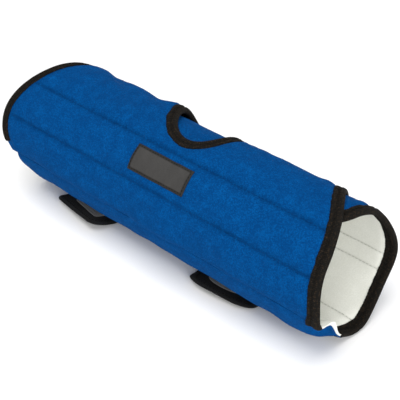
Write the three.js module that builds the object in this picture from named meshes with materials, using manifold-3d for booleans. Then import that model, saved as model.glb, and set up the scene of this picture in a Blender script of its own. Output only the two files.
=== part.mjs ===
// Elbow brace: a padded cloth wrap rolled into an open tube that lies on its side.
// Two quilted leaves are joined by a thin fold strip at the lower front. The lower leaf
// goes under, up the back and over the top; the top leaf lies over it and has an oval
// elbow opening. Black tape binds the edges, and two straps sewn to the top leaf's free
// edge come round under the tube and end in free hook tabs at the front.
//
// Millimetres, +Z up, the tube along X, the open end that shows its lining towards +X.
// A place on the wrap is (x, angle, height): the angle is in degrees about the tube's
// axis, 0 at the back, 90 on top, 180 at the front, and runs on past 360 where the lower
// leaf lies inside the top leaf; the height is measured from the inner face of the leaf.

import * as THREE from "three";
import { mergeVertices } from "three/addons/utils/BufferGeometryUtils.js";
import Module from "manifold-3d";

const wasm = await Module();
wasm.setup();

// Rolled tube
const tubeRadius = 51; // outside of the top leaf
const halfLength = 160; // from the middle to the leaves' ends, beside the fold strip
const bottomSag = 3; // how far the padding flattens where it lies
const leafGap = 0.3; // clearance between the two leaves' tapes where they cross

// Layers of a leaf, from the arm outwards
const liningWall = 1.3;
const layerGap = 0.3;
const coverWall = 1.8; // blue loop cloth with its thin padding
const coverInTape = 1.0; // what is left of the cover where the tape grips it
const liningInTape = 0.5;

// Edge tape, folded round the edge of a leaf
const tapeWidth = 10;
const tapeWall = 0.9;
const tapeGap = 0.3;
const tapeStart = 1.5; // degrees from the fold strip to where the tape begins

// Where the leaves and the fold strip begin and end, in degrees
const topFreeEdge = -20;
const foldTop = 189;
const foldBottom = 258;
const lowerFreeEdge = 478;
const rollInEnd = 338; // from here on the lower leaf lies inside the top leaf
const cornerRadius = 28; // rounded corners at both free edges

// Fold strip
const foldCoverWall = 1.1;
const foldLiningWall = 0.7;
const foldRecess = 0.4; // outer face below the leaves' outer face
const foldShortening = 12; // its bare ends stop short of the leaves' ends
const foldSlack = 1.2; // how far the slack strip bows out towards its near end

// Stitch lines that quilt the leaves
const quiltDepth = 0.7;
const quiltHalfWidth = 3;
const topStitchLines = [115.4, 152.7];
const lowerStitchLines = [278, 331, 348];

// Elbow opening in the top leaf, to the edge of the cloth inside the tape: an oval that
// leans along the tube, by openingLean for each millimetre from its middle to the front
const openingAlong = -0.019 * halfLength;
const openingAngle = 53.5;
const openingHalfLength = 25.3;
const openingHalfHeight = 40;
const openingLean = 0.26;

// Label
const labelLength = 50;
const labelHeight = 19;
const labelWall = 0.7;
const labelAlong = 4.3;
const labelAngle = 132.7;

// Straps
const strapWidth = 57;
const strapWall = 2;
const hookWall = 0.8;
const hookMargin = 8; // bare border round the hook patch
const hookLength = 34;
const strapGap = 0.4;
const strapAnchorAngle = 14; // sewn end, on the outside of the top leaf
const strapSettle = 12; // degrees over which it rises onto the leaf's edge tape
const strapLift = 34; // slope of the free tab at its tip, in degrees
const straps = [
  // along: place on the tube, as a share of halfLength. skew: how far the strap turns
  // from square, in degrees. tab: length of the free end from under the axis, and
  // corner: rounding of its tip, both as shares of strapWidth.
  { name: "far", along: -0.494, skew: 14, tab: 0.77, corner: 0.14 },
  { name: "near", along: 0.363, skew: -9, tab: 0.719, corner: 0.3 },
].map((strap) => ({
  ...strap,
  along: strap.along * halfLength,
  tab: strap.tab * strapWidth,
  corner: strap.corner * strapWidth,
}));

// Places where the top leaf stands out from a round tube, or where a strap draws it in.
// along, reach: place and reach along the tube, as shares of halfLength. rise: height
// at the middle, as a share of tubeRadius. angle, spread: round the tube, in degrees.
const topLeafSwells = [
  { along: -0.19, reach: 0.15, angle: 47, spread: 24, rise: 0.043 }, // opening's far rim
  { along: -0.59, reach: 0.34, angle: 56, spread: 24, rise: 0.027 }, // slack far half
  { along: 0.375, reach: 0.19, angle: 42, spread: 28, rise: -0.016 }, // near strap
].map((swell) => ({
  ...swell,
  along: swell.along * halfLength,
  reach: swell.reach * halfLength,
  rise: swell.rise * tubeRadius,
}));

// Ends of the leaves. across: from the fold strip to the free edge. far, near: half
// lengths towards each end of the tube. All are shares, the lengths of halfLength.
const topLeafEnds = [
  { across: 0.0, far: 0.93, near: 1.015 },
  { across: 0.06, far: 0.972, near: 1.01 },
  { across: 0.13, far: 0.987, near: 0.998 },
  { across: 0.2, far: 0.986, near: 0.985 },
  { across: 0.28, far: 0.966, near: 0.97 },
  { across: 0.36, far: 0.936, near: 0.935 },
  { across: 0.43, far: 0.911, near: 0.892 },
  { across: 0.5, far: 0.894, near: 0.846 },
  { across: 0.6, far: 0.876, near: 0.785 },
  { across: 0.72, far: 0.86, near: 0.74 },
  { across: 1.0, far: 0.83, near: 0.71 },
];
const lowerLeafEnds = [
  { across: 0.0, far: 0.97, near: 0.99 },
  { across: 0.08, far: 0.99, near: 1.0 },
  { across: 0.3, far: 0.98, near: 0.985 },
  { across: 0.46, far: 0.975, near: 0.985 },
  { across: 0.56, far: 0.96, near: 0.96 },
  { across: 0.66, far: 0.94, near: 0.93 },
  { across: 0.8, far: 0.92, near: 0.92 },
  { across: 0.9, far: 0.9, near: 0.9 },
  { across: 1.0, far: 0.87, near: 0.86 },
];

// Fineness of the facets
const rowPitch = 9.5; // degrees
const topColumns = 10;
const lowerColumns = 4;
const cornerSteps = 3;
const openingSteps = 24;
const strapRows = 24;
const strapArcSteps = 18;
const strapTabSteps = 5;
const strapColumns = 4;

// Heights within a leaf
const leafWall = liningWall + layerGap + coverWall;
const coverFrom = liningWall + layerGap;
const tongueTop = coverFrom + coverInTape;
const tongueFoot = liningWall - liningInTape;
const tapeTop = tongueTop + tapeGap + tapeWall;
const tapeFoot = tongueFoot - tapeGap - tapeWall;
const lapStep = tapeTop - tapeFoot + leafGap;

const radians = THREE.MathUtils.degToRad;
const ease = (share) => THREE.MathUtils.smoothstep(share, 0, 1);

// Outer face of the wrap: round, flat where it lies, and a step smaller inside the lap.
function wrapRadius(angle) {
  const inward = ease((angle - foldBottom) / (rollInEnd - foldBottom));
  const round = tubeRadius - lapStep * inward;
  const fromBottom = Math.cos(radians(angle - 270));
  if (angle < foldTop || angle > 360 || fromBottom <= 0) return round;
  return Math.min(round, (tubeRadius - bottomSag) / fromBottom);
}

// Bell curve of width `reach`, 1 at its middle.
const bell = (distance, reach) => Math.exp(-((distance / reach) ** 2));

function swelling(x, angle) {
  if (angle > foldTop) return 0;
  return topLeafSwells.reduce((sum, s) => {
    return sum + s.rise * bell(x - s.along, s.reach) * bell(angle - s.angle, s.spread);
  }, 0);
}

function onWrap(x, angle, height) {
  const radius = wrapRadius(angle) + swelling(x, angle) - leafWall + height;
  const turn = radians(angle);
  return new THREE.Vector3(x, radius * Math.cos(turn), radius * Math.sin(turn));
}

// Smooth reading of a table at a share of the way across.
function readTable(table, column, across) {
  const last = table.length - 1;
  let i = 0;
  while (i < last - 1 && across > table[i + 1].across) i++;
  const a = table[i];
  const b = table[i + 1];
  const slope = (from, to) =>
    (table[to][column] - table[from][column]) / (table[to].across - table[from].across);
  const span = b.across - a.across;
  const t = THREE.MathUtils.clamp((across - a.across) / span, 0, 1);
  const slopeA = slope(Math.max(i - 1, 0), i + 1) * span;
  const slopeB = slope(i, Math.min(i + 2, last)) * span;
  const t2 = t * t;
  const t3 = t2 * t;
  return (
    (2 * t3 - 3 * t2 + 1) * a[column] +
    (t3 - 2 * t2 + t) * slopeA +
    (3 * t2 - 2 * t3) * b[column] +
    (t3 - t2) * slopeB
  );
}

const topLeaf = {
  fold: foldTop,
  free: topFreeEdge,
  radius: tubeRadius,
  ends: topLeafEnds,
  lines: topStitchLines,
  columns: topColumns,
  tapeFrom: foldTop - tapeStart,
};
const lowerLeaf = {
  fold: foldBottom,
  free: lowerFreeEdge,
  radius: tubeRadius - lapStep,
  ends: lowerLeafEnds,
  lines: lowerStitchLines,
  columns: lowerColumns,
  tapeFrom: foldBottom + tapeStart,
};

const degreesOf = (length, radius) => THREE.MathUtils.radToDeg(length / radius);

// Half lengths of a leaf at an angle, with its rounded corner at the free edge.
function leafReach(leaf, angle) {
  const across = (angle - leaf.fold) / (leaf.free - leaf.fold);
  const fromFree = radians(Math.abs(leaf.free - angle)) * leaf.radius;
  const inCorner = Math.max(cornerRadius - fromFree, 0);
  const cut = cornerRadius - Math.sqrt(cornerRadius ** 2 - inCorner ** 2);
  return {
    far: halfLength * readTable(leaf.ends, "far", across) - cut,
    near: halfLength * readTable(leaf.ends, "near", across) - cut,
  };
}

// Angles of a leaf's rows, from its fold to its free edge: even steps, with a row on
// and beside each stitch line and closer rows through the rounded corner.
function leafRows(leaf) {
  const way = Math.sign(leaf.free - leaf.fold);
  const corner = leaf.free - way * degreesOf(cornerRadius, leaf.radius);
  const beside = way * degreesOf(quiltHalfWidth, leaf.radius);
  const stops = [leaf.fold, leaf.tapeFrom];
  for (const line of [...leaf.lines].sort((a, b) => way * (a - b)))
    stops.push(line - beside, line, line + beside);
  stops.push(corner);
  const rows = [stops[0]];
  for (let i = 1; i < stops.length; i++) {
    const span = stops[i] - stops[i - 1];
    const steps = Math.max(1, Math.round(Math.abs(span) / rowPitch));
    for (let k = 1; k <= steps; k++) rows.push(stops[i - 1] + (span * k) / steps);
  }
  for (let k = cornerSteps - 1; k >= 0; k--) {
    const turn = (Math.PI / 2) * (k / cornerSteps);
    const fromFree = cornerRadius * (1 - Math.cos(turn));
    rows.push(leaf.free - way * degreesOf(fromFree, leaf.radius));
  }
  return rows;
}

// Where a column stands across a leaf, from -1 to 1: closer in the middle, where the
// opening is.
function columnPlace(j, columns) {
  const even = (2 * j) / (columns - 1) - 1;
  return even * (0.55 + 0.45 * even ** 2);
}

// How far the quilting presses a face in at an angle.
function quilting(lines, angle, radius) {
  const beside = degreesOf(quiltHalfWidth, radius);
  return lines.some((line) => Math.abs(line - angle) < beside / 2) ? quiltDepth : 0;
}

// Mesh helpers
function geometryOf(points, triangles) {
  const geometry = new THREE.BufferGeometry();
  const positions = points.flatMap((p) => [p.x, p.y, p.z]);
  geometry.setAttribute("position", new THREE.Float32BufferAttribute(positions, 3));
  geometry.setIndex(triangles);
  if (volumeOf(points, triangles) < 0) geometry.setIndex([...triangles].reverse());
  return geometry;
}

function volumeOf(points, triangles) {
  let sum = 0;
  for (let i = 0; i < triangles.length; i += 3) {
    const [a, b, c] = [0, 1, 2].map((k) => points[triangles[i + k]]);
    sum += a.dot(new THREE.Vector3().crossVectors(b, c));
  }
  return sum / 6;
}

// Closed solid between two faces given on one grid: point(row, column, face), with
// face 1 outside and face 0 inside.
function slab(rowCount, columnCount, point) {
  const points = [];
  for (const face of [1, 0])
    for (let i = 0; i < rowCount; i++)
      for (let j = 0; j < columnCount; j++) points.push(point(i, j, face));
  const at = (i, j, face) => (face ? 0 : rowCount * columnCount) + i * columnCount + j;
  const triangles = [];
  const quad = (a, b, c, d) => triangles.push(a, b, c, a, c, d);
  for (let i = 0; i < rowCount - 1; i++)
    for (let j = 0; j < columnCount - 1; j++) {
      quad(at(i, j, 1), at(i, j + 1, 1), at(i + 1, j + 1, 1), at(i + 1, j, 1));
      quad(at(i, j, 0), at(i + 1, j, 0), at(i + 1, j + 1, 0), at(i, j + 1, 0));
    }
  for (let i = 0; i < rowCount - 1; i++) {
    const end = columnCount - 1;
    quad(at(i, 0, 0), at(i, 0, 1), at(i + 1, 0, 1), at(i + 1, 0, 0));
    quad(at(i, end, 1), at(i, end, 0), at(i + 1, end, 0), at(i + 1, end, 1));
  }
  for (let j = 0; j < columnCount - 1; j++) {
    const end = rowCount - 1;
    quad(at(0, j, 1), at(0, j, 0), at(0, j + 1, 0), at(0, j + 1, 1));
    quad(at(end, j, 0), at(end, j, 1), at(end, j + 1, 1), at(end, j + 1, 0));
  }
  return geometryOf(points, triangles);
}

// Closed solid of a profile [{ in, height }] carried along a path [{ x, angle, nx, na }]
// on the wrap; nx, na is the way from the edge into the cloth, na in degrees per mm.
function edging(path, profile, closed) {
  const points = path.flatMap((p) =>
    profile.map((q) => onWrap(p.x + p.nx * q.in, p.angle + p.na * q.in, q.height)),
  );
  const count = profile.length;
  const triangles = [];
  const steps = closed ? path.length : path.length - 1;
  for (let i = 0; i < steps; i++) {
    const here = i * count;
    const next = ((i + 1) % path.length) * count;
    for (let k = 0; k < count; k++) {
      const l = (k + 1) % count;
      triangles.push(here + k, here + l, next + l, here + k, next + l, next + k);
    }
  }
  if (!closed) {
    const flat = profile.map((q) => new THREE.Vector2(q.in, q.height));
    const end = (path.length - 1) * count;
    for (const [a, b, c] of THREE.ShapeUtils.triangulateShape(flat, [])) {
      const cap = THREE.ShapeUtils.isClockWise(flat) ? [a, c, b] : [a, b, c];
      triangles.push(cap[0], cap[2], cap[1], end + cap[0], end + cap[1], end + cap[2]);
    }
  }
  return geometryOf(points, triangles);
}

function solidOf(geometry) {
  const bare = geometry.clone();
  bare.deleteAttribute("normal");
  bare.deleteAttribute("uv");
  const merged = mergeVertices(bare, 1e-4);
  return new wasm.Manifold(
    new wasm.Mesh({
      numProp: 3,
      vertProperties: new Float32Array(merged.attributes.position.array),
      triVerts: new Uint32Array(merged.index.array),
    }),
  );
}

function geometryOfSolid(solid) {
  const mesh = solid.getMesh();
  const geometry = new THREE.BufferGeometry();
  const positions = [];
  for (let i = 0; i < mesh.vertProperties.length; i += mesh.numProp)
    positions.push(...mesh.vertProperties.slice(i, i + 3));
  geometry.setAttribute("position", new THREE.Float32BufferAttribute(positions, 3));
  geometry.setIndex([...mesh.triVerts]);
  return geometry;
}

const cutAway = (body, ...cutters) =>
  geometryOfSolid(cutters.reduce((left, cutter) => left.subtract(solidOf(cutter)), solidOf(body)));

// Layer of a leaf between two heights; the quilting presses in its outer or inner face.
function leafLayer(leaf, from, to) {
  const rows = leafRows(leaf);
  return slab(rows.length, leaf.columns, (i, j, face) => {
    const angle = rows[i];
    const reach = leafReach(leaf, angle);
    const along = (1 + columnPlace(j, leaf.columns)) / 2;
    const x = -reach.far + (reach.far + reach.near) * along;
    const pressed = quilting(leaf.lines, angle, leaf.radius);
    const outer = to === leafWall ? to - pressed : to;
    const inner = from === 0 ? from + pressed : from;
    return onWrap(x, angle, face ? outer : inner);
  });
}

// Directions into the cloth at each point of an edge path.
function withInward(places, radius, closed, towards) {
  const count = places.length;
  return places.map((place, i) => {
    const before = places[closed ? (i + count - 1) % count : Math.max(i - 1, 0)];
    const after = places[closed ? (i + 1) % count : Math.min(i + 1, count - 1)];
    const alongX = after.x - before.x;
    const alongArc = radians(after.angle - before.angle) * radius;
    const length = Math.hypot(alongX, alongArc);
    const side = Math.sign(
      -alongArc * (towards.x - place.x) +
        alongX * radians(towards.angle - place.angle) * radius,
    );
    return {
      ...place,
      nx: (side * -alongArc) / length,
      na: degreesOf((side * alongX) / length, radius),
    };
  });
}

// The bound edge of a leaf: up its near end, along its free edge and down its far end.
function boundEdge(leaf) {
  const rows = leafRows(leaf).slice(1);
  const near = rows.map((angle) => ({ x: leafReach(leaf, angle).near, angle }));
  const far = rows.map((angle) => ({ x: -leafReach(leaf, angle).far, angle })).reverse();
  const start = near[near.length - 1].x;
  const end = far[0].x;
  const between = [];
  for (let k = 1; k < leaf.columns - 1; k++) {
    const along = (1 + columnPlace(k, leaf.columns)) / 2;
    between.push({ x: start + (end - start) * along, angle: leaf.free });
  }
  const middle = { x: 0, angle: (leaf.fold + leaf.free) / 2 };
  return withInward([...near, ...between, ...far], leaf.radius, false, middle);
}

function openingEdge() {
  const places = [];
  for (let k = 0; k < openingSteps; k++) {
    const turn = (2 * Math.PI * k) / openingSteps;
    const across = openingHalfHeight * Math.sin(turn);
    places.push({
      x: openingAlong + openingHalfLength * Math.cos(turn) + openingLean * across,
      angle: openingAngle + degreesOf(across, tubeRadius),
    });
  }
  const middle = { x: openingAlong, angle: openingAngle };
  return withInward(places, tubeRadius, true, middle).map((place) => ({
    ...place,
    nx: -place.nx,
    na: -place.na,
  }));
}

// Plug through a leaf, as wide as the oval opening. Its caps are fans, so they stand
// far enough out to clear the round leaf between their spokes.
function openingPlug() {
  const edge = openingEdge();
  const low = tapeFoot - 1;
  const high = tapeTop + openingHalfHeight / 4;
  const ring = (height) => edge.map((p) => onWrap(p.x, p.angle, height));
  const centre = (height) => onWrap(openingAlong, openingAngle, height);
  const points = [...ring(high), ...ring(low), centre(high), centre(low)];
  const count = edge.length;
  const triangles = [];
  for (let k = 0; k < count; k++) {
    const next = (k + 1) % count;
    triangles.push(k, count + k, count + next, k, count + next, next);
    triangles.push(2 * count, k, next, 2 * count + 1, count + next, count + k);
  }
  return geometryOf(points, triangles);
}

// Tape folded round an edge, seen across the edge.
const tapeEase = tapeWall * 0.6;
const tapeProfile = [
  { in: tapeWidth, height: tongueTop + tapeGap },
  { in: tapeWidth, height: tapeTop },
  { in: -tapeGap - tapeWall + tapeEase, height: tapeTop },
  { in: -tapeGap - tapeWall, height: tapeTop - tapeEase },
  { in: -tapeGap - tapeWall, height: tapeFoot + tapeEase },
  { in: -tapeGap - tapeWall + tapeEase, height: tapeFoot },
  { in: tapeWidth, height: tapeFoot },
  { in: tapeWidth, height: tongueFoot - tapeGap },
  { in: -tapeGap, height: tongueFoot - tapeGap },
  { in: -tapeGap, height: tongueTop + tapeGap },
];

// Room for the tape's outer or inner flange, cut out of the cover or the lining.
const flangeRoom = (from, to) => [
  { in: tapeWidth + tapeGap, height: from },
  { in: tapeWidth + tapeGap, height: to },
  { in: -1, height: to },
  { in: -1, height: from },
];
const outerRoom = flangeRoom(tongueTop, leafWall + 1);
const innerRoom = flangeRoom(-1, tongueFoot);

// The path runs on past the end of the tape, so that its room opens towards the fold.
function roomPath(leaf) {
  const path = boundEdge(leaf);
  const beyond = (place) => ({ ...place, angle: place.angle + (leaf.fold - leaf.tapeFrom) * 1.5 });
  return [beyond(path[0]), ...path, beyond(path[path.length - 1])];
}

const cloth = (color, roughness) =>
  new THREE.MeshStandardMaterial({ color, roughness, metalness: 0 });
const blueLoopCloth = cloth(0x0b529e, 0.95);
const whiteLiningCloth = cloth(0xdedfd8, 0.95);
const blackTape = cloth(0x1c1b19, 0.85);
const labelSatin = cloth(0x3d3b38, 0.6);
const strapWebbing = cloth(0x161615, 0.85);
const hookGrey = cloth(0x4a4b4a, 0.8);

const tube = new THREE.Group();

function add(name, geometry, material) {
  const mesh = new THREE.Mesh(geometry, material);
  mesh.name = name;
  tube.add(mesh);
}

function addLeaves() {
  const plug = openingPlug();
  const rim = openingEdge();
  add(
    "top_leaf_cover",
    cutAway(
      leafLayer(topLeaf, coverFrom, leafWall),
      plug,
      edging(roomPath(topLeaf), outerRoom, false),
      edging(rim, outerRoom, true),
    ),
    blueLoopCloth,
  );
  add(
    "top_leaf_lining",
    cutAway(
      leafLayer(topLeaf, 0, liningWall),
      plug,
      edging(roomPath(topLeaf), innerRoom, false),
      edging(rim, innerRoom, true),
    ),
    whiteLiningCloth,
  );
  add(
    "lower_leaf_cover",
    cutAway(
      leafLayer(lowerLeaf, coverFrom, leafWall),
      edging(roomPath(lowerLeaf), outerRoom, false),
    ),
    blueLoopCloth,
  );
  add(
    "lower_leaf_lining",
    cutAway(
      leafLayer(lowerLeaf, 0, liningWall),
      edging(roomPath(lowerLeaf), innerRoom, false),
    ),
    whiteLiningCloth,
  );
  add("top_leaf_binding", edging(boundEdge(topLeaf), tapeProfile, false), blackTape);
  add("lower_leaf_binding", edging(boundEdge(lowerLeaf), tapeProfile, false), blackTape);
  add("opening_binding", edging(rim, tapeProfile, true), blackTape);
}

// Thin strip between the leaves, slack towards its near end.
function addFoldStrip() {
  const from = foldTop + degreesOf(layerGap, tubeRadius);
  const to = foldBottom - degreesOf(layerGap, tubeRadius);
  const rowCount = Math.round((to - from) / rowPitch) + 1;
  const farReach = halfLength * topLeafEnds[0].far - foldShortening / 2;
  const nearReach = halfLength * topLeafEnds[0].near - foldShortening;
  const coverTop = leafWall - foldRecess;
  const liningTop = coverTop - foldCoverWall - layerGap;
  const columnCount = topColumns;
  const layer = (low, high) =>
    slab(rowCount, columnCount, (i, j, face) => {
      const share = i / (rowCount - 1);
      const along = j / (columnCount - 1);
      const angle = from + (to - from) * share;
      const x = -farReach + (farReach + nearReach) * along;
      const bow = foldSlack * Math.sin(Math.PI * share) ** 2 * along ** 3;
      return onWrap(x, angle, (face ? high : low) + bow);
    });
  add("fold_cover", layer(coverTop - foldCoverWall, coverTop), blueLoopCloth);
  add("fold_lining", layer(liningTop - foldLiningWall, liningTop), whiteLiningCloth);
}

function addLabel() {
  const spread = degreesOf(labelHeight, tubeRadius);
  const geometry = slab(4, 4, (i, j, face) =>
    onWrap(
      labelAlong + labelLength * (j / 3 - 0.5),
      labelAngle + spread * (i / 3 - 0.5),
      leafWall + layerGap + (face ? labelWall : 0),
    ),
  );
  add("label_patch", geometry, labelSatin);
}

// Line of a strap's inner face, seen along the tube: down the back from its sewn end,
// flat under the tube, then forward and up into the free tab.
function strapLine(strap) {
  const overTape = tapeTop - leafWall + strapGap;
  const bottom = tubeRadius - bottomSag + strapGap + hookWall + strapGap;
  const line = [];
  const end = -90;
  for (let k = 0; k <= strapArcSteps; k++) {
    const angle = strapAnchorAngle + ((end - strapAnchorAngle) * k) / strapArcSteps;
    const onTape = ease((strapAnchorAngle - angle) / strapSettle);
    const round = tubeRadius + strapGap + (overTape - strapGap) * onTape;
    const down = -Math.sin(radians(angle));
    const radius = down > 0 ? Math.min(round, bottom / down) : round;
    line.push(new THREE.Vector2(Math.cos(radians(angle)), Math.sin(radians(angle))));
    line[k].multiplyScalar(radius);
  }
  const flat = bottom * Math.tan(Math.acos((tubeRadius - bottomSag) / tubeRadius));
  const rise = radians(strapLift);
  const free = strap.tab - flat;
  const arc = free / rise;
  for (let k = 1; k <= 2; k++) line.push(new THREE.Vector2((-flat * k) / 2, -bottom));
  for (let k = 1; k <= strapTabSteps; k++) {
    const turn = (rise * k) / strapTabSteps;
    const up = arc * (1 - Math.cos(turn));
    line.push(new THREE.Vector2(-flat - arc * Math.sin(turn), up - bottom));
  }
  return line;
}

// Place and outward direction at a distance along a polyline; past its ends it runs on.
function alongLine(line, distance) {
  let i = 1;
  let passed = 0;
  while (i < line.length - 1 && passed + line[i].distanceTo(line[i - 1]) < distance) {
    passed += line[i].distanceTo(line[i - 1]);
    i++;
  }
  const step = new THREE.Vector2().subVectors(line[i], line[i - 1]);
  const length = step.length();
  const place = line[i - 1].clone().addScaledVector(step, (distance - passed) / length);
  return { place, out: new THREE.Vector2(-step.y, step.x).divideScalar(length) };
}

const lengthOf = (line) =>
  line.slice(1).reduce((sum, p, i) => sum + p.distanceTo(line[i]), 0);

// Strip on a strap from one distance to another, `low` to `high` outside the strap's
// inner face, with the corners of its tip rounded.
function strapStrip(strap, from, to, halfWidth, corner, low, high, rowCount) {
  const line = strapLine(strap);
  const pivot = lengthOf(line) - strap.tab;
  const skew = radians(strap.skew);
  const columnCount = strapColumns;
  const rows = [];
  const straight = to - corner;
  const tipRows = 4;
  for (let k = 0; k <= rowCount; k++) rows.push(from + ((straight - from) * k) / rowCount);
  for (let k = 1; k <= tipRows; k++)
    rows.push(straight + corner * Math.sin((Math.PI / 2) * (k / tipRows)));
  return slab(rows.length, columnCount, (i, j, face) => {
    const inCorner = Math.max(rows[i] - straight, 0);
    const cut = corner - Math.sqrt(Math.max(corner ** 2 - inCorner ** 2, 0));
    const side = (halfWidth - Math.min(cut, halfWidth - 2)) * ((2 * j) / (columnCount - 1) - 1);
    const ahead = rows[i] - pivot;
    const x = strap.along + side * Math.cos(skew) - ahead * Math.sin(skew);
    const distance = pivot + ahead * Math.cos(skew) + side * Math.sin(skew);
    const { place, out } = alongLine(line, distance);
    const height = face ? high : low;
    return new THREE.Vector3(x, place.x + out.x * height, place.y + out.y * height);
  });
}

function addStraps() {
  for (const strap of straps) {
    const length = lengthOf(strapLine(strap));
    const halfWidth = strapWidth / 2;
    add(
      "strap_" + strap.name,
      strapStrip(strap, 0, length, halfWidth, strap.corner, 0, strapWall, strapRows),
      strapWebbing,
    );
    const end = length - hookMargin;
    const hookCorner = Math.max(strap.corner - hookMargin, 3);
    add(
      "hook_patch_" + strap.name,
      strapStrip(
        strap,
        end - hookLength,
        end,
        halfWidth - hookMargin,
        hookCorner,
        -strapGap - hookWall,
        -strapGap,
        6,
      ),
      hookGrey,
    );
  }
}

addLeaves();
addFoldStrip();
addLabel();
addStraps();

// The brace stands on its straps, with the middle of its base at the origin.
const part = new THREE.Group();
part.add(tube);
const extent = new THREE.Box3().setFromObject(tube);
const middle = extent.getCenter(new THREE.Vector3());
tube.position.set(-middle.x, -middle.y, -extent.min.z);

export default part;
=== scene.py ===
import math

import bpy
import numpy as np
from mathutils import Matrix, Vector


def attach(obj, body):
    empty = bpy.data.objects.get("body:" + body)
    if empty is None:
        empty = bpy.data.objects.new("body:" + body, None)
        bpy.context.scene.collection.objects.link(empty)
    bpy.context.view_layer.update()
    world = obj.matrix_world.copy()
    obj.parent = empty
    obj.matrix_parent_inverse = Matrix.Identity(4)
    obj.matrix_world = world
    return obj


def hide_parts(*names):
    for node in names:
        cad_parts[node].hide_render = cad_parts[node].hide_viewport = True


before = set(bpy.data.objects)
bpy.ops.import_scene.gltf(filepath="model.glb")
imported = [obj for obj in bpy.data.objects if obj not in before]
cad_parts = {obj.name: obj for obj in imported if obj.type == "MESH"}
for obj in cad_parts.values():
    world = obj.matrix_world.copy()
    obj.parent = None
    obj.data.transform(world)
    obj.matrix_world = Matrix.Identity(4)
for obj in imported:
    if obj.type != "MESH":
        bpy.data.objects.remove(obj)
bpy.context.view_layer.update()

# Camera: a studio camera with a short telephoto lens, looking down at the brace from the
# front and from the end that shows the lining.

CAMERA_TURN = math.radians(41.72)
CAMERA_TILT = math.radians(37.06)
CAMERA_PLACE = Vector((0.3926, -0.4290, 0.4784))
CAMERA_SENSOR, CAMERA_LENS, CAMERA_CLIP = 36.0, 84.96, 0.01

toward_camera = Vector((
    math.sin(CAMERA_TURN) * math.cos(CAMERA_TILT),
    -math.cos(CAMERA_TURN) * math.cos(CAMERA_TILT),
    math.sin(CAMERA_TILT),
))
image_right = Vector((math.cos(CAMERA_TURN), math.sin(CAMERA_TURN), 0.0))
image_up = toward_camera.cross(image_right)
photo_camera = bpy.data.objects.new("photo_camera", bpy.data.cameras.new("photo_camera"))
photo_camera.data.sensor_width = CAMERA_SENSOR
photo_camera.data.lens = CAMERA_LENS
photo_camera.data.clip_start = CAMERA_CLIP
turned = Matrix((image_right, image_up, toward_camera)).transposed().to_4x4()
photo_camera.matrix_world = Matrix.Translation(CAMERA_PLACE) @ turned
bpy.context.collection.objects.link(photo_camera)
bpy.context.scene.camera = photo_camera

# Floor and light: a plain white table under a large soft box over the camera's left
# shoulder, a weaker one from the right, and even light from the white room.

FLOOR_HALF = 4.0
ROOM_LIGHT = 0.6


def add_node(tree, kind, inputs=None, **settings):
    """Adds a node. An input is a value or the output socket that feeds it."""
    made = tree.nodes.new(kind)
    for key, value in settings.items():
        setattr(made, key, value)
    for key, value in (inputs or {}).items():
        if isinstance(value, bpy.types.NodeSocket):
            tree.links.new(value, made.inputs[key])
        else:
            made.inputs[key].default_value = value
    return made


def new_material(name):
    """An empty material: its node tree and its output node."""
    made = bpy.data.materials.new(name)
    made.use_nodes = True
    made.node_tree.nodes.clear()
    return made, made.node_tree, made.node_tree.nodes.new("ShaderNodeOutputMaterial")


floor_mesh = bpy.data.meshes.new("floor")
floor_mesh.from_pydata(
    [(x * FLOOR_HALF, y * FLOOR_HALF, 0.0) for x, y in ((-1, -1), (1, -1), (1, 1), (-1, 1))],
    [],
    [(0, 1, 2, 3)],
)
floor = bpy.data.objects.new("floor", floor_mesh)
bpy.context.collection.objects.link(floor)
floor_paint, tree, output = new_material("floor_paint")
grain = add_node(tree, "ShaderNodeTexNoise", {"Scale": 3.0, "Detail": 2.0})
tone = add_node(tree, "ShaderNodeMapRange", {"Value": grain.outputs["Fac"], 3: 0.9, 4: 0.93})
shader = add_node(tree, "ShaderNodeBsdfPrincipled", {"Roughness": 0.9})
tree.links.new(tone.outputs["Result"], shader.inputs["Base Color"])
tree.links.new(shader.outputs["BSDF"], output.inputs["Surface"])
floor_mesh.materials.append(floor_paint)

room = bpy.data.worlds.new("white_room")
room.use_nodes = True
room.node_tree.nodes["Background"].inputs["Color"].default_value = (1.0, 1.0, 1.0, 1.0)
room.node_tree.nodes["Background"].inputs["Strength"].default_value = ROOM_LIGHT
bpy.context.scene.world = room
bpy.context.scene.view_settings.view_transform = "Standard"

SOFT_BOXES = (
    # name, place in metres, side in metres, power in watts
    ("soft_box_key", (0.0, -0.5, 2.1), 1.4, 31.0),
    ("soft_box_fill", (1.5, -0.8, 0.8), 1.2, 22.0),
)
for name, place, size, power in SOFT_BOXES:
    lamp = bpy.data.lights.new(name, "AREA")
    lamp.shape = "SQUARE"
    lamp.size = size
    lamp.energy = power
    light = bpy.data.objects.new(name, lamp)
    light.location = place
    light.rotation_mode = "QUATERNION"
    light.rotation_quaternion = (-Vector(place)).to_track_quat("-Z", "Y")
    bpy.context.collection.objects.link(light)

# Top leaf, outer cloth: brushed blue loop cloth over thin padding, quilted by two lines
# of stitching along the tube. It comes up from the fold strip, over the front and the
# top and down the back, and has the oval elbow opening.

# The roll. Lengths in millimetres, angles in degrees about the tube's axis: 0 at the
# back, 90 on top, 180 at the front, and past 360 for the part inside the top leaf.

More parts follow.
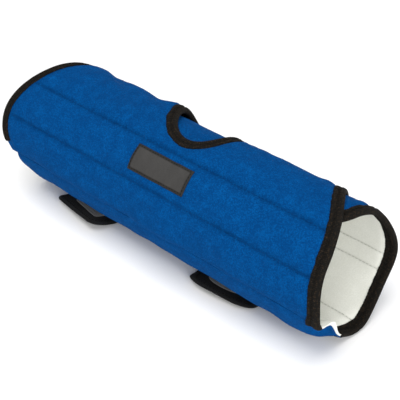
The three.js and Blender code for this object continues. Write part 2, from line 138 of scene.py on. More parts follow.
MM_IN_METRE = 1000.0
ROLL_AXIS = (-1.92, -1.19, 51.6)
TUBE_RADIUS = 51.0
LEAF_WALL = 3.4
LAP_STEP = 4.5
BOTTOM_SAG = 3.0
FOLD_TOP, FOLD_BOTTOM, ROLL_IN_END = 189.0, 258.0, 338.0
HALF_LENGTH = 160.0
CORNER_RADIUS = 28.0
TAPE_WIDTH, TAPE_ROLL = 8.0, 1.4
FAR_AWAY = 1e3
OPENING_ALONG, OPENING_ANGLE, OPENING_LEAN = -3.0, 53.5, 0.26
OPENING_HALF_LENGTH, OPENING_HALF_HEIGHT = 25.3, 39.5

# Where the top leaf stands out from a round tube, or is drawn in.
TOP_SWELLS = (
    # place along, reach along, angle, spread, rise
    (-36.0, 17.0, 54.0, 22.0, 3.2),
    (-122.0, 16.0, 50.0, 26.0, 2.5),
    (-76.0, 18.0, 52.0, 24.0, 1.0),
    (24.0, 18.0, 44.0, 20.0, -1.3),
    (80.0, 40.0, 44.0, 28.0, -1.9),
)

# Where the lower leaf bulges: into the elbow opening, and at its near end.
LOWER_SWELLS = (
    (-12.0, 24.0, 402.0, 26.0, 1.5),
    (136.0, 16.0, 404.0, 26.0, 0.7),
)

# Depth by which the wrap's near end is drawn in: along its bottom, where the slack strip
# buckles into an arch, and a little up its back. Where it is less than 0 the end bears out.
NEAR_PINCH = (
    # angle, depth
    (186.0, 0.0), (189.0, 0.0), (193.0, 0.8), (196.0, 2.0), (198.0, 4.4), (200.0, 7.0),
    (202.0, 8.7), (204.5, 10.1), (208.0, 11.1), (213.0, 11.5), (218.0, 11.4), (224.5, 10.7),
    (230.0, 9.7), (238.0, 7.6), (245.0, 5.5), (250.0, 4.0), (254.0, 2.4), (258.0, 0.5),
    (262.0, -1.0), (266.0, -2.2), (273.0, -2.8), (280.0, -2.0), (290.0, 1.4), (300.0, 2.2),
    (312.0, 1.2), (325.0, 0.0), (340.0, -0.8), (355.0, -0.9), (370.0, -0.2), (385.0, 0.9),
    (400.0, 1.5), (415.0, 1.4), (430.0, 0.6), (446.0, 0.0),
)
PINCH_START, PINCH_FULL = 137.0, 158.0
PINCH_LATER = (
    # angle from which the pinch starts later, over how many degrees, how much later
    (220.0, 8.0, 4.0),
    (227.0, 12.0, 3.0),
)

# Soft creases that the slack cloth takes between the stitching and the opening.
TOP_CREASES = (
    # start along, start angle, end along, end angle, half width, depth
    (-109.0, 50.0, -52.0, 91.0, 6.0, 1.5),
    (-110.0, 74.0, -86.0, 108.0, 8.0, 0.8),
    (-130.0, 82.0, -120.0, 110.0, 7.0, 0.6),
    (30.0, 46.0, 58.0, 82.0, 7.0, 0.7),
    (96.0, 60.0, 118.0, 104.0, 8.0, 0.5),
)

# Half lengths of the leaves, as shares of HALF_LENGTH, from the fold to the free edge.
TOP_ENDS = (
    # share of the way across, far end, near end
    (0.0, 0.94, 0.9995),
    (0.06, 0.98, 0.9945),
    (0.13, 0.995, 0.98),
    (0.2, 0.994, 0.967),
    (0.28, 0.974, 0.957),
    (0.36, 0.944, 0.931),
    (0.43, 0.919, 0.895),
    (0.5, 0.902, 0.849),
    (0.6, 0.884, 0.786),
    (0.72, 0.868, 0.737),
    (1.0, 0.838, 0.707),
)


def smooth_step(share):
    """0 below 0, 1 above 1 and an S between them."""
    share = np.clip(share, 0.0, 1.0)
    return share * share * (3.0 - 2.0 * share)


def bell(distance, reach):
    """1 at no distance, falling to about a third at the reach."""
    return np.exp(-((distance / reach) ** 2))


def roll_radius(angle):
    """Outer face of the wrap: round, flat where it lies, a step smaller inside the lap."""
    angle = np.asarray(angle, float)
    inward = smooth_step((angle - FOLD_BOTTOM) / (ROLL_IN_END - FOLD_BOTTOM))
    round_part = TUBE_RADIUS - LAP_STEP * inward
    down = np.cos(np.radians(angle - 270.0))
    below = (angle > FOLD_TOP - 9.0) & (angle < 360.0) & (down > 0.2)
    flat_part = np.where(below, (TUBE_RADIUS - BOTTOM_SAG) / np.where(below, down, 1.0), FAR_AWAY)
    soft = 0.5
    return -soft * np.log(np.exp(-round_part / soft) + np.exp(-flat_part / soft))


def swelling(x, angle):
    """How far a leaf stands out at a place; the lower leaf's angles are past the strip."""
    angle = np.asarray(angle)
    first, last = NEAR_PINCH[0][0], NEAR_PINCH[-1][0]
    fine = np.arange(first, last + 0.1, 0.5)
    blur = bell(np.arange(-5, 6), 3.0)
    depths = np.pad(np.interp(fine, *zip(*NEAR_PINCH)), 5, mode="edge")
    depth = np.interp(angle, fine, np.convolve(depths, blur / blur.sum(), "valid"))
    start = PINCH_START
    for place, reach, later in PINCH_LATER:
        start = start + later * smooth_step((angle - place) / reach)
    pinch = depth * smooth_step((x - start) / (PINCH_FULL - start)) ** 1.2
    top_out, lower_out = (
        sum(rise * bell(x - along, reach) * bell(angle - middle, spread)
            for along, reach, middle, spread, rise in swells)
        for swells in (TOP_SWELLS, LOWER_SWELLS)
    )
    return np.where(angle > FOLD_TOP + 1.0, lower_out - pinch, top_out)


def on_wrap(x, angle, height):
    """Points in metres of places on the wrap, height in mm from a leaf's inner face."""
    radius = roll_radius(angle) + swelling(x, angle) - LEAF_WALL + height
    x, turn, radius = np.broadcast_arrays(x, np.radians(angle), radius)
    places = np.stack([x, radius * np.cos(turn), radius * np.sin(turn)], axis=-1)
    return (np.array(ROLL_AXIS) + places) / MM_IN_METRE


def soft_noise(x, s, wavelength, seed):
    """Smooth random relief of about unit height from a fixed seed."""
    draw = np.random.default_rng(seed)
    total = 0.0
    waves = 22
    for _ in range(waves):
        way, phase = draw.uniform(0.0, 2.0 * math.pi, 2)
        size = wavelength * draw.uniform(0.7, 1.4)
        run = (x * math.cos(way) + s * math.sin(way)) * 2.0 * math.pi / size
        total = total + np.cos(run + phase)
    return total / math.sqrt(waves / 2.0)


# Rows of points beside a line of stitching, and the half width that only they fill.
SEAM_ROWS = (-2.7, -1.8, -1.1, -0.5, 0.0, 0.5, 1.1, 1.8, 2.7)
SEAM_HALF = 3.2


class Leaf:
    """One leaf of the wrap: where it runs, its ends and its lines of stitching."""

    def __init__(self, fold, free, radius, ends, lines):
        self.fold, self.free, self.lines = fold, free, lines
        self.arc = math.radians(1.0) * radius
        shares, far, near = (np.array(column) for column in zip(*ends))
        self.shares = np.linspace(0.0, 1.0, 400)
        self.far = self.curve(shares, far) * HALF_LENGTH
        self.near = self.curve(shares, near) * HALF_LENGTH

    def curve(self, shares, values):
        """The table read smoothly, at 400 even shares."""
        slopes = np.gradient(values, shares)
        i = np.clip(np.searchsorted(shares, self.shares, side="right") - 1, 0, len(shares) - 2)
        span = shares[i + 1] - shares[i]
        t = (self.shares - shares[i]) / span
        return (
            (2 * t**3 - 3 * t**2 + 1) * values[i]
            + (t**3 - 2 * t**2 + t) * span * slopes[i]
            + (3 * t**2 - 2 * t**3) * values[i + 1]
            + (t**3 - t**2) * span * slopes[i + 1]
        )

    def from_free(self, angle):
        return np.abs(self.free - np.asarray(angle, float)) * self.arc

    def from_fold(self, angle):
        return np.abs(self.fold - np.asarray(angle, float)) * self.arc

    def reach(self, angle, inset=0.0):
        """Half lengths towards the far and the near end, with the rounded corners."""
        share = (np.asarray(angle, float) - self.fold) / (self.free - self.fold)
        radius = CORNER_RADIUS - inset
        inside = np.clip(CORNER_RADIUS - self.from_free(angle), 0.0, radius)
        cut = radius - np.sqrt(radius**2 - inside**2) + inset
        far = np.interp(share, self.shares, self.far) - cut
        near = np.interp(share, self.shares, self.near) - cut
        return far, near

    def rows(self, step, inset):
        """Angles from the fold to the free edge, closer at the stitching and the corners."""
        way = math.copysign(1.0, self.free - self.fold)
        length = float(self.from_free(self.fold)) - inset
        radius = CORNER_RADIUS - inset
        marks = [length - radius * (1.0 - math.cos(math.radians(t))) for t in range(0, 91, 6)]
        marks += list(np.arange(0.0, length - radius, step))
        for line in self.lines:
            middle = abs(line - self.fold) * self.arc
            marks = [m for m in marks if abs(m - middle) > SEAM_HALF]
            marks += [middle + d for d in SEAM_ROWS]
        marks = sorted(marks)
        kept = [marks[0]]
        for mark in marks[1:]:
            if mark - kept[-1] > 0.05:
                kept.append(mark)
        return self.fold + way * np.array(kept) / self.arc

    def edge(self, near_start, far_start, step):
        """The bound edge: up the near end, along the free edge and down the far end."""
        way = math.copysign(1.0, self.free - self.fold)
        corner = self.free - way * CORNER_RADIUS / self.arc
        turns = np.radians(np.linspace(90.0, 0.0, 40)[1:])
        round_it = self.free - way * CORNER_RADIUS * (1.0 - np.cos(turns)) / self.arc
        up = np.append(np.linspace(near_start, corner, 160), round_it)
        down = np.append(np.linspace(far_start, corner, 160), round_it)[::-1]
        x = np.concatenate([self.reach(up)[1], -self.reach(down)[0]])
        s = np.concatenate([up, down]) * self.arc
        return even_path(x, s, step, False)


def even_path(x, s, step, closed):
    """A path resampled evenly, with unit normals to its left."""
    if closed:
        x, s = np.append(x, x[0]), np.append(s, s[0])
    run = np.concatenate([[0.0], np.cumsum(np.hypot(np.diff(x), np.diff(s)))])
    count = int(round(run[-1] / step))
    at = np.linspace(0.0, run[-1], count + 1)
    x, s = np.interp(at, run, x), np.interp(at, run, s)
    if closed:
        x, s, at = x[:-1], s[:-1], at[:-1]
        dx, ds = np.roll(x, -1) - np.roll(x, 1), np.roll(s, -1) - np.roll(s, 1)
    else:
        dx, ds = np.gradient(x), np.gradient(s)
    length = np.hypot(dx, ds)
    return {"x": x, "s": s, "nx": -ds / length, "ns": dx / length, "run": at}


def distance_to(x, s, path):
    """Distance of each place to the nearest point of a path, in the flat cloth."""
    flat = np.stack([x.ravel(), s.ravel()], 1)
    line = np.stack([path["x"], path["s"]], 1)
    out = np.empty(len(flat))
    for start in range(0, len(flat), 4000):
        some = flat[start:start + 4000]
        gap = some[:, None, :] - line[None, :, :]
        out[start:start + 4000] = np.sqrt((gap**2).sum(2).min(1))
    return out.reshape(x.shape)


def opening_path(step):
    """The opening's edge: an oval that leans along the tube."""
    turn = np.linspace(0.0, 2.0 * math.pi, 240, endpoint=False)
    across = OPENING_HALF_HEIGHT * np.sin(turn)
    x = OPENING_ALONG + OPENING_HALF_LENGTH * np.cos(turn) + OPENING_LEAN * across
    return even_path(x, OPENING_ANGLE * top_leaf.arc + across, step, True)


def crease_depth(x, s, arc, creases):
    """Depth of the soft creases at a place, deepest half way along each."""
    depth = 0.0
    for x0, a0, x1, a1, half_width, deep in creases:
        ax, ay, bx, by = x0, a0 * arc, x1, a1 * arc
        length2 = (bx - ax) ** 2 + (by - ay) ** 2
        t = ((x - ax) * (bx - ax) + (s - ay) * (by - ay)) / length2
        side = ((x - ax) * (by - ay) - (s - ay) * (bx - ax)) / math.sqrt(length2)
        fade = smooth_step((t + 0.25) / 0.5) * smooth_step((1.25 - t) / 0.5)
        valley = bell(side, half_width) - 0.45 * bell(side - 1.9 * half_width, half_width * 1.3)
        depth = depth + deep * fade * valley
    return depth


def shell(name, outer, inner, flat, kept=None):
    """A closed piece of cloth between two faces given on one grid of points; flat is each
    point's place in the flat cut, and kept says which squares of the grid are cloth."""
    rows, columns = outer.shape[:2]
    if kept is None:
        kept = np.ones((rows - 1, columns - 1), bool)
    index = np.arange(rows * columns).reshape(rows, columns)
    corners = np.stack([index[:-1, :-1], index[:-1, 1:], index[1:, 1:], index[1:, :-1]], -1)
    face = corners[kept]
    back = face[:, ::-1] + rows * columns
    edges = np.concatenate([face[:, [k, (k + 1) % 4]] for k in range(4)])
    keys = {(int(a), int(b)) for a, b in edges}
    rim = np.array([(a, b) for a, b in edges.tolist() if (b, a) not in keys])
    first, second = rim.T
    wall = np.stack([second, first, first + rows * columns, second + rows * columns], 1)
    faces = np.concatenate([face, back, wall])
    points = np.concatenate([outer.reshape(-1, 3), inner.reshape(-1, 3)])
    marks = np.concatenate([flat.reshape(-1, 3)] * 2)
    used, faces = np.unique(faces, return_inverse=True)
    return cloth_object(name, points[used], faces.reshape(-1, 4), marks[used])


def cloth_object(name, points, faces, flat):
    """An object whose points know their place in the flat cloth, in millimetres: the
    attribute cloth_flat is along, across and the closeness to a seam, from 0 to 1."""
    mesh = bpy.data.meshes.new(name)
    mesh.from_pydata(points.tolist(), [], [tuple(f) for f in faces.tolist()])
    mark = mesh.attributes.new("cloth_flat", "FLOAT_VECTOR", "POINT")
    mark.data.foreach_set("vector", np.ascontiguousarray(flat, dtype=np.float32).ravel())
    mesh.shade_smooth()
    mesh.set_sharp_from_angle(angle=math.radians(60.0))
    made = bpy.data.objects.new(name, mesh)
    bpy.context.collection.objects.link(made)
    return made


def leaf_grid(leaf, step_across, step_along):
    """Angles and places along of a leaf's grid of points."""
    rows = leaf.rows(step_across, TAPE_ROLL)
    far, near = leaf.reach(rows, TAPE_ROLL)
    columns = int(2.0 * HALF_LENGTH / step_along)
    share = np.linspace(0.0, 1.0, columns)[None, :]
    x = -far[:, None] + (far + near)[:, None] * share
    return x, np.repeat(rows[:, None], columns, 1)


def seam_closeness(leaf, angle, width):
    """1 on a line of stitching, falling to 0 beside it."""
    near = 0.0
    for line in leaf.lines:
        near = np.maximum(near, bell((angle - line) * leaf.arc, width))
    return near


def at_least(height, least):
    """The height, eased so that it stays above the least one."""
    return least + 0.12 * np.logaddexp(0.0, (height - least) / 0.12)


# Waves of the padded cover: height, wavelength, squeeze across the seams, and whether
# they die out towards the tape.
COVER_WAVES = (
    (0.45, 62.0, 1.0, True),
    (0.16, 21.0, 0.7, True),
    (0.035, 5.0, 1.0, False),
)
COVER_GRIPPED, LINING_GRIPPED = 2.45, 0.75


def quilted_height(leaf, x, angle, gap, loft, seed):
    """Height of the padded cover: full between the stitching, drawn down on it and
    gripped flat under the tape. gap is the distance to the nearest bound edge."""
    s = angle * leaf.arc
    free = smooth_step((gap - (TAPE_WIDTH - 1.6)) / 5.5)
    draw = np.clip((gap - TAPE_WIDTH) / 22.0, 0.0, 1.0)
    plump = 0.7 + 0.5 * soft_noise(x, s, 17.0, seed)
    height = loft + 0.5 * bell(gap - (TAPE_WIDTH + 6.0), 5.0) * plump
    puckers = 1.0 + 0.35 * soft_noise(x, s * 0.1, 4.6, seed + 1)
    height = height - 1.25 * seam_closeness(leaf, angle, 1.35) * puckers
    channels = 1.0 + 0.25 * soft_noise(x, s * 0.3, 13.0, seed + 2)
    height = height - 0.75 * seam_closeness(leaf, angle, 6.5) * channels
    for number, (rise, wavelength, squeeze, dies_out) in enumerate(COVER_WAVES):
        waves = rise * soft_noise(x, s * squeeze, wavelength, seed + 3 + number)
        height = height + (waves * draw if dies_out else waves)
    height = height - 1.5 * bell(leaf.from_fold(angle), 2.4)
    return at_least(COVER_GRIPPED + (height - COVER_GRIPPED) * free, LEAST_COVER)


top_leaf = Leaf(FOLD_TOP, -20.0, TUBE_RADIUS, TOP_ENDS, (115.4, 152.7))
LEAST_COVER, COVER_INNER = 2.1, 1.65
CREASE_FADE = 8.0
LABEL_ALONG, LABEL_ANGLE = 5.2, 133.2
LABEL_LENGTH, LABEL_HEIGHT = 53.5, 20.4


def label_pressure(x, angle):
    """How far the label's stitching presses the cover in."""
    across = np.abs(angle - LABEL_ANGLE) * top_leaf.arc - LABEL_HEIGHT / 2.0
    along = np.abs(x - LABEL_ALONG) - LABEL_LENGTH / 2.0
    outside = np.maximum(across, along)
    return 0.75 * smooth_step(1.0 - (outside + 1.0) / 5.0)


def top_cover_height(x, angle, gap):
    """Height of the top leaf's cover, with its creases and the label's pressure."""
    s = angle * top_leaf.arc
    height = quilted_height(top_leaf, x, angle, gap, LEAF_WALL + 0.3, 11)
    free = smooth_step((gap - TAPE_WIDTH) / CREASE_FADE)
    height = height - crease_depth(x, s, top_leaf.arc, TOP_CREASES) * free
    return at_least(height - label_pressure(x, angle), LEAST_COVER)


def oval_share(x, angle):
    """1 on the edge of the cloth at the opening, less inside it."""
    across = (angle - OPENING_ANGLE) * top_leaf.arc
    length, height = OPENING_HALF_LENGTH + TAPE_ROLL, OPENING_HALF_HEIGHT + TAPE_ROLL
    return np.hypot((x - OPENING_ALONG - OPENING_LEAN * across) / length, across / height)


def cut_opening(x, angle):
    """Which squares of the grid stay, with the grid's points drawn to the oval."""
    share = oval_share(x, angle)
    mean = (share[:-1, :-1] + share[:-1, 1:] + share[1:, 1:] + share[1:, :-1]) / 4.0
    kept = mean > 1.0
    beside = np.zeros(share.shape, bool)
    for i, j in ((0, 0), (0, 1), (1, 0), (1, 1)):
        beside[i:share.shape[0] - 1 + i, j:share.shape[1] - 1 + j] |= ~kept
    rim = beside & (share > 0.0)
    scale = np.where(rim, 1.0 / np.maximum(share, 1e-6), 1.0)
    x = OPENING_ALONG + (x - OPENING_ALONG) * scale
    return kept, x, OPENING_ANGLE + (angle - OPENING_ANGLE) * scale


x, angle = leaf_grid(top_leaf, 2.0, 1.7)
kept, x, angle = cut_opening(x, angle)
top_edge = top_leaf.edge(FOLD_TOP + 4.0, FOLD_TOP - 7.0, 0.9)
opening_edge = opening_path(0.9)
s = angle * top_leaf.arc
gap = np.minimum(distance_to(x, s, top_edge), distance_to(x, s, opening_edge))
height = top_cover_height(x, angle, gap)
top_cover = shell(
    "top_leaf_cloth",
    on_wrap(x, angle, height),
    on_wrap(x, angle, COVER_INNER),
    np.stack([x, s, seam_closeness(top_leaf, angle, 2.2)], -1),
    kept,
)


def group_tree(name, inputs, outputs):
    """A shader node group with named inputs (kind, name, value) and outputs."""
    tree = bpy.data.node_groups.new(name, "ShaderNodeTree")
    for kind, label, value in inputs:
        socket = tree.interface.new_socket(label, in_out="INPUT", socket_type=kind)
        if value is not None:
            socket.default_value = value
    for kind, label in outputs:
        tree.interface.new_socket(label, in_out="OUTPUT", socket_type=kind)
    return tree, tree.nodes.new("NodeGroupInput"), tree.nodes.new("NodeGroupOutput")


def calculate(tree, operation, *values, **settings):
    """The result of a maths node on numbers or sockets."""
    inputs = dict(enumerate(values))
    return add_node(tree, "ShaderNodeMath", inputs, operation=operation, **settings).outputs[0]


def noise(tree, place, scale, detail, roughness=0.5):
    inputs = {"Vector": place, "Scale": scale, "Detail": detail, "Roughness": roughness}
    return add_node(tree, "ShaderNodeTexNoise", inputs)


def remap(tree, value, low, high, to_low, to_high):
    """The value, stretched from low..high to to_low..to_high and held there."""
    inputs = {"Value": value, 1: low, 2: high, 3: to_low, 4: to_high}
    return add_node(tree, "ShaderNodeMapRange", inputs).outputs[0]


def blend(tree, share, first, second, **settings):
    """The first colour, turned to the second by a share from 0 to 1."""
    return add_node(tree, "ShaderNodeMixRGB", {0: share, 1: first, 2: second}, **settings).outputs[0]


def darker(color):
    """A colour darkened as painted shade in a sewn groove."""
    return tuple(c * 0.3 for c in color[:3]) + (1.0,)


def flat_place(tree):
    """Sockets of the place in the flat cloth, in mm, and of the closeness to a seam."""
    mark = add_node(tree, "ShaderNodeAttribute", attribute_name="cloth_flat")
    parts = add_node(tree, "ShaderNodeSeparateXYZ", {0: mark.outputs["Vector"]})
    inputs = {0: parts.outputs["X"], 1: parts.outputs["Y"], 2: 0.0}
    return add_node(tree, "ShaderNodeCombineXYZ", inputs).outputs[0], parts.outputs["Z"]


def cloth_surface(tree, output, color, height, depth, strength, constants):
    """Joins a colour and a relief of the given depth in metres to a shader of constants."""
    inputs = {"Height": height, "Distance": depth, "Strength": strength}
    relief = add_node(tree, "ShaderNodeBump", inputs)
    shader = add_node(tree, "ShaderNodeBsdfPrincipled", {
        "Base Color": color, "Normal": relief.outputs[0], **constants,
    })
    tree.links.new(shader.outputs["BSDF"], output.inputs["Surface"])


def make_nap():
    """Brushed nap: fine fibre tips over loops and brushed patches, with painted light on the raised tips
    and painted shade in the hollows.
    """
    tree, given, out = group_tree(
        "brushed_nap",
        [
            ("NodeSocketVector", "Place", None),
            ("NodeSocketColor", "Deep", (0.0, 0.0, 0.0, 1.0)),
            ("NodeSocketColor", "Tip", (1.0, 1.0, 1.0, 1.0)),
            ("NodeSocketFloat", "Loop Size", 0.9),
            ("NodeSocketFloat", "Patchiness", 0.3),
        ],
        [("NodeSocketColor", "Color"), ("NodeSocketFloat", "Height")],
    )
    place = given.outputs["Place"]
    scale = calculate(tree, "DIVIDE", 1.0, given.outputs["Loop Size"])
    bend = noise(tree, place, 0.55, 2.0)
    bent = blend(tree, 0.45, place, bend.outputs["Color"], blend_type="ADD")
    inputs = {"Vector": bent, "Scale": scale, "Smoothness": 0.6}
    loops = add_node(tree, "ShaderNodeTexVoronoi", inputs, feature="SMOOTH_F1")
    fibre = noise(tree, bent, 3.1, 5.0, 0.7)
    patch = noise(tree, place, 0.11, 3.0, 0.6)
    mottle = noise(tree, place, 0.62, 3.0, 0.65)
    dome = calculate(tree, "SUBTRACT", 0.75, loops.outputs["Distance"])
    height = calculate(tree, "ADD", dome, fibre.outputs["Fac"])
    # Painted light and shade: the colour follows the height, lighter on the raised fibre tips and darker
    # in the hollows between the loops.
    tips = remap(tree, height, 0.55, 1.25, 0.0, 0.75)
    brushed = remap(tree, patch.outputs["Fac"], 0.35, 0.7, -0.5, 0.5)
    speckle = remap(tree, mottle.outputs["Fac"], 0.35, 0.68, -0.5, 0.5)
    both = calculate(tree, "ADD", brushed, speckle)
    spread = calculate(tree, "MULTIPLY", both, given.outputs["Patchiness"])
    share = calculate(tree, "ADD", tips, spread, use_clamp=True)
    color = blend(tree, share, given.outputs["Deep"], given.outputs["Tip"])
    tree.links.new(color, out.inputs["Color"])
    tree.links.new(height, out.inputs["Height"])
    return tree


brushed_nap = make_nap()


def nap_material(name, deep, tip, painted_seam_shade, loop_size, patchiness, bump, sheen):
    """A brushed cloth: nap colour, with painted shade where a seam draws it down into a groove, soft
    sheen.
    """
    made, tree, output = new_material(name)
    place, seam = flat_place(tree)
    nap = add_node(tree, "ShaderNodeGroup", {
        "Place": place, "Deep": deep, "Tip": tip, "Loop Size": loop_size, "Patchiness": patchiness,
    }, node_tree=brushed_nap)
    # Painted shade: the colour is darkened along the seams, where the stitching draws the cloth into a
    # groove.
    shade = calculate(tree, "MULTIPLY", seam, painted_seam_shade)
    color = blend(tree, shade, nap.outputs["Color"], darker(deep))
    cloth_surface(tree, output, color, nap.outputs["Height"], bump, 0.8, {
        "Roughness": 0.95, "Specular IOR Level": 0.03,
        "Sheen Weight": sheen, "Sheen Roughness": 0.55,
    })
    return made


# Deep is the colour in the nap's hollows and Tip on its raised tips; the step between them is partly
# painted shade and light, and patches and speckles mix them at random.
BLUE_DEEP = (0.0004, 0.041, 0.16, 1.0)
BLUE_TIP = (0.001, 0.093, 0.32, 1.0)
BLUE_SHEEN = (0.02, 0.35, 1.0, 1.0)
blue_nap = nap_material(
    "blue_brushed_loop", BLUE_DEEP, BLUE_TIP,
    painted_seam_shade=0.3, loop_size=0.95, patchiness=0.36, bump=0.0004, sheen=0.04,
)
blue_nap.node_tree.nodes["Principled BSDF"].inputs["Sheen Tint"].default_value = BLUE_SHEEN
top_cover.data.materials.append(blue_nap)
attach(top_cover, "root")
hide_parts("top_leaf_cover")

# Top leaf, lining: off-white brushed knit, laid against the padding and caught by the
# same two lines of stitching and by the edge tape.

LINING_OUTER, LEAST_LINING = 1.5, 0.4


def lining_height(leaf, x, angle, gap, seed):
    """Height of the lining's face towards the arm: lower is further in."""
    s = angle * leaf.arc
    free = smooth_step((gap - (TAPE_WIDTH - 2.0)) / 5.0)
    height = 0.15 * soft_noise(x, s, 48.0, seed) - 0.1
    height = height + 0.03 * soft_noise(x, s, 6.0, seed + 1)
    puckers = 1.0 + 0.3 * soft_noise(x, s * 0.1, 5.0, seed + 2)
    height = height + 0.45 * seam_closeness(leaf, angle, 1.2) * puckers
    height = height + 0.25 * seam_closeness(leaf, angle, 6.0)
    height = height + 0.6 * bell(leaf.from_fold(angle), 2.0)
    held = LINING_GRIPPED + (height - LINING_GRIPPED) * free
    return np.minimum(held, LINING_OUTER - LEAST_LINING)


def top_lining_height(x, angle, gap):
    return lining_height(top_leaf, x, angle, gap, 31)


x, angle = leaf_grid(top_leaf, 3.2, 3.2)
kept, x, angle = cut_opening(x, angle)
s = angle * top_leaf.arc
gap = np.minimum(distance_to(x, s, top_edge), distance_to(x, s, opening_edge))
height = top_lining_height(x, angle, gap)
top_lining = shell(
    "top_leaf_inner_cloth",
    on_wrap(x, angle, LINING_OUTER),
    on_wrap(x, angle, height),
    np.stack([x, s, seam_closeness(top_leaf, angle, 1.5)], -1),
    kept,
)
# The lining's colours in the hollows and on the tips, with the same painted shade and light between
# them.
WHITE_DEEP = (0.76, 0.765, 0.7, 1.0)
WHITE_TIP = (0.9, 0.905, 0.85, 1.0)
white_knit = nap_material(
    "white_brushed_knit", WHITE_DEEP, WHITE_TIP,
    painted_seam_shade=0.2, loop_size=0.6, patchiness=0.25, bump=0.00022, sheen=0.15,
)
top_lining.data.materials.append(white_knit)
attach(top_lining, "root")
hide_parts("top_leaf_lining")

# Lower leaf: the same blue cloth, padding and lining. It runs from the fold strip under
# the tube, up the back and over the top, inside the top leaf. Its blue face shows in the
# elbow opening, and its lining at the near end.

LOWER_ENDS = (
    # share of the way across, far end, near end
    (0.0, 0.97, 0.99),
    (0.08, 0.99, 1.004),
    (0.3, 0.98, 0.988),
    (0.46, 0.975, 0.99),
    (0.56, 0.96, 0.968),
    (0.66, 0.94, 0.938),
    (0.8, 0.92, 0.92),
    (0.9, 0.9, 0.9),
    (1.0, 0.87, 0.86),
)
LOWER_CREASES = (
    # start along, start angle, end along, end angle, half width, depth
    (-10.0, 408.0, 16.0, 432.0, 5.0, 0.5),
    (112.0, 404.0, 134.0, 426.0, 6.0, 0.6),
)
lower_leaf = Leaf(FOLD_BOTTOM, 478.0, TUBE_RADIUS - LAP_STEP, LOWER_ENDS, (277.0, 331.0, 348.0))
lower_edge = lower_leaf.edge(FOLD_BOTTOM - 5.0, FOLD_BOTTOM, 0.9)


def lower_cover_height(x, angle, gap):
    """Height of the lower leaf's quilted cover, without its creases."""
    return quilted_height(lower_leaf, x, angle, gap, LEAF_WALL - 0.2, 53)


x, angle = leaf_grid(lower_leaf, 2.4, 2.2)
s = angle * lower_leaf.arc
gap = distance_to(x, s, lower_edge)
height = lower_cover_height(x, angle, gap)
free = smooth_step((gap - TAPE_WIDTH) / CREASE_FADE)
height = height - crease_depth(x, s, lower_leaf.arc, LOWER_CREASES) * free
lower_cover = shell(
    "lower_leaf_cloth",
    on_wrap(x, angle, height),
    on_wrap(x, angle, COVER_INNER),
    np.stack([x, s, seam_closeness(lower_leaf, angle, 2.2)], -1),
)
lower_cover.data.materials.append(blue_nap)
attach(lower_cover, "root")
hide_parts("lower_leaf_cover")


def lower_lining_height(x, angle, gap):
    return lining_height(lower_leaf, x, angle, gap, 71)


x, angle = leaf_grid(lower_leaf, 2.6, 2.6)
s = angle * lower_leaf.arc
gap = distance_to(x, s, lower_edge)
height = lower_lining_height(x, angle, gap)
lower_lining = shell(
    "lower_leaf_inner_cloth",
    on_wrap(x, angle, LINING_OUTER),
    on_wrap(x, angle, height),
    np.stack([x, s, seam_closeness(lower_leaf, angle, 0.9)], -1),
)
lower_lining.data.materials.append(white_knit)
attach(lower_lining, "root")
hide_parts("lower_leaf_lining")

# Fold strip: the unpadded strip between the leaves at the lower front, blue cloth and
# lining without tape. It is slack, so its bare near end buckles inwards as an arch.

STRIP_FROM, STRIP_TO = FOLD_TOP + 0.35, FOLD_BOTTOM - 0.35
STRIP_TOP, STRIP_WALL = 2.9, 1.0
STRIP_FAR, STRIP_NEAR = 143.0, HALF_LENGTH


def strip_grid(top):
    """Grid of a face of the strip at a height, with its slack and ripples."""
    angles = np.linspace(STRIP_FROM, STRIP_TO, 44)[:, None]
    share = np.linspace(0.0, 1.0, 190)[None, :]
    across = (angles - STRIP_FROM) / (STRIP_TO - STRIP_FROM)
    held = TAPE_ROLL * (bell(angles - STRIP_FROM, 5.0) + bell(angles - STRIP_TO, 7.0))
    far = STRIP_FAR + 6.0 * across - 3.0 * np.sin(math.pi * across)
    near = STRIP_NEAR - 1.6 * across - 0.4 * np.sin(math.pi * across) - held
    x = -far + (far + near) * share
    angles = np.broadcast_to(angles, x.shape)
    slack = np.sin(math.pi * across) ** 2
    out = 0.3 * bell(angles - 224.0, 18.0) * bell(x - 144.0, 9.0)
    far_tuck = 1.5 * slack * smooth_step((-x - 116.0) / 26.0)
    ripple = 0.3 * soft_noise(x, angles * 0.5, 30.0, 91) * slack
    sewn = 0.5 * (bell(angles - STRIP_FROM, 4.0) + bell(angles - STRIP_TO, 7.0))
    return x, angles, top + out - far_tuck + ripple - sewn


x, angle, height = strip_grid(STRIP_TOP)
s = angle * top_leaf.arc
fold_cover = shell(
    "fold_strip_cloth",
    on_wrap(x, angle, height),
    on_wrap(x, angle, height - STRIP_WALL),
    np.stack([x, s, np.zeros_like(x)], -1),
)
fold_cover.data.materials.append(blue_nap)
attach(fold_cover, "root")
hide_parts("fold_cover")

# The lining's near end is left thicker at the arch, as a rolled edge that shows.
x, angle, height = strip_grid(STRIP_TOP - STRIP_WALL - 0.1)
curl = smooth_step((x - 148.0) / 9.0) * bell(angle - 216.0, 22.0)
x = x + 0.6 * curl
fold_lining = shell(
    "fold_strip_inner_cloth",
    on_wrap(x, angle, height),
    on_wrap(x, angle, height - STRIP_WALL - 2.4 * curl),
    np.stack([x, s, np.zeros_like(x)], -1),
)
fold_lining.data.materials.append(white_knit)
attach(fold_lining, "root")
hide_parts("fold_lining")

# Edge tape: black ribbed tape folded round the edges of the leaves and of the opening
# and sewn through near its middle, so that it stands up in two soft rolls.

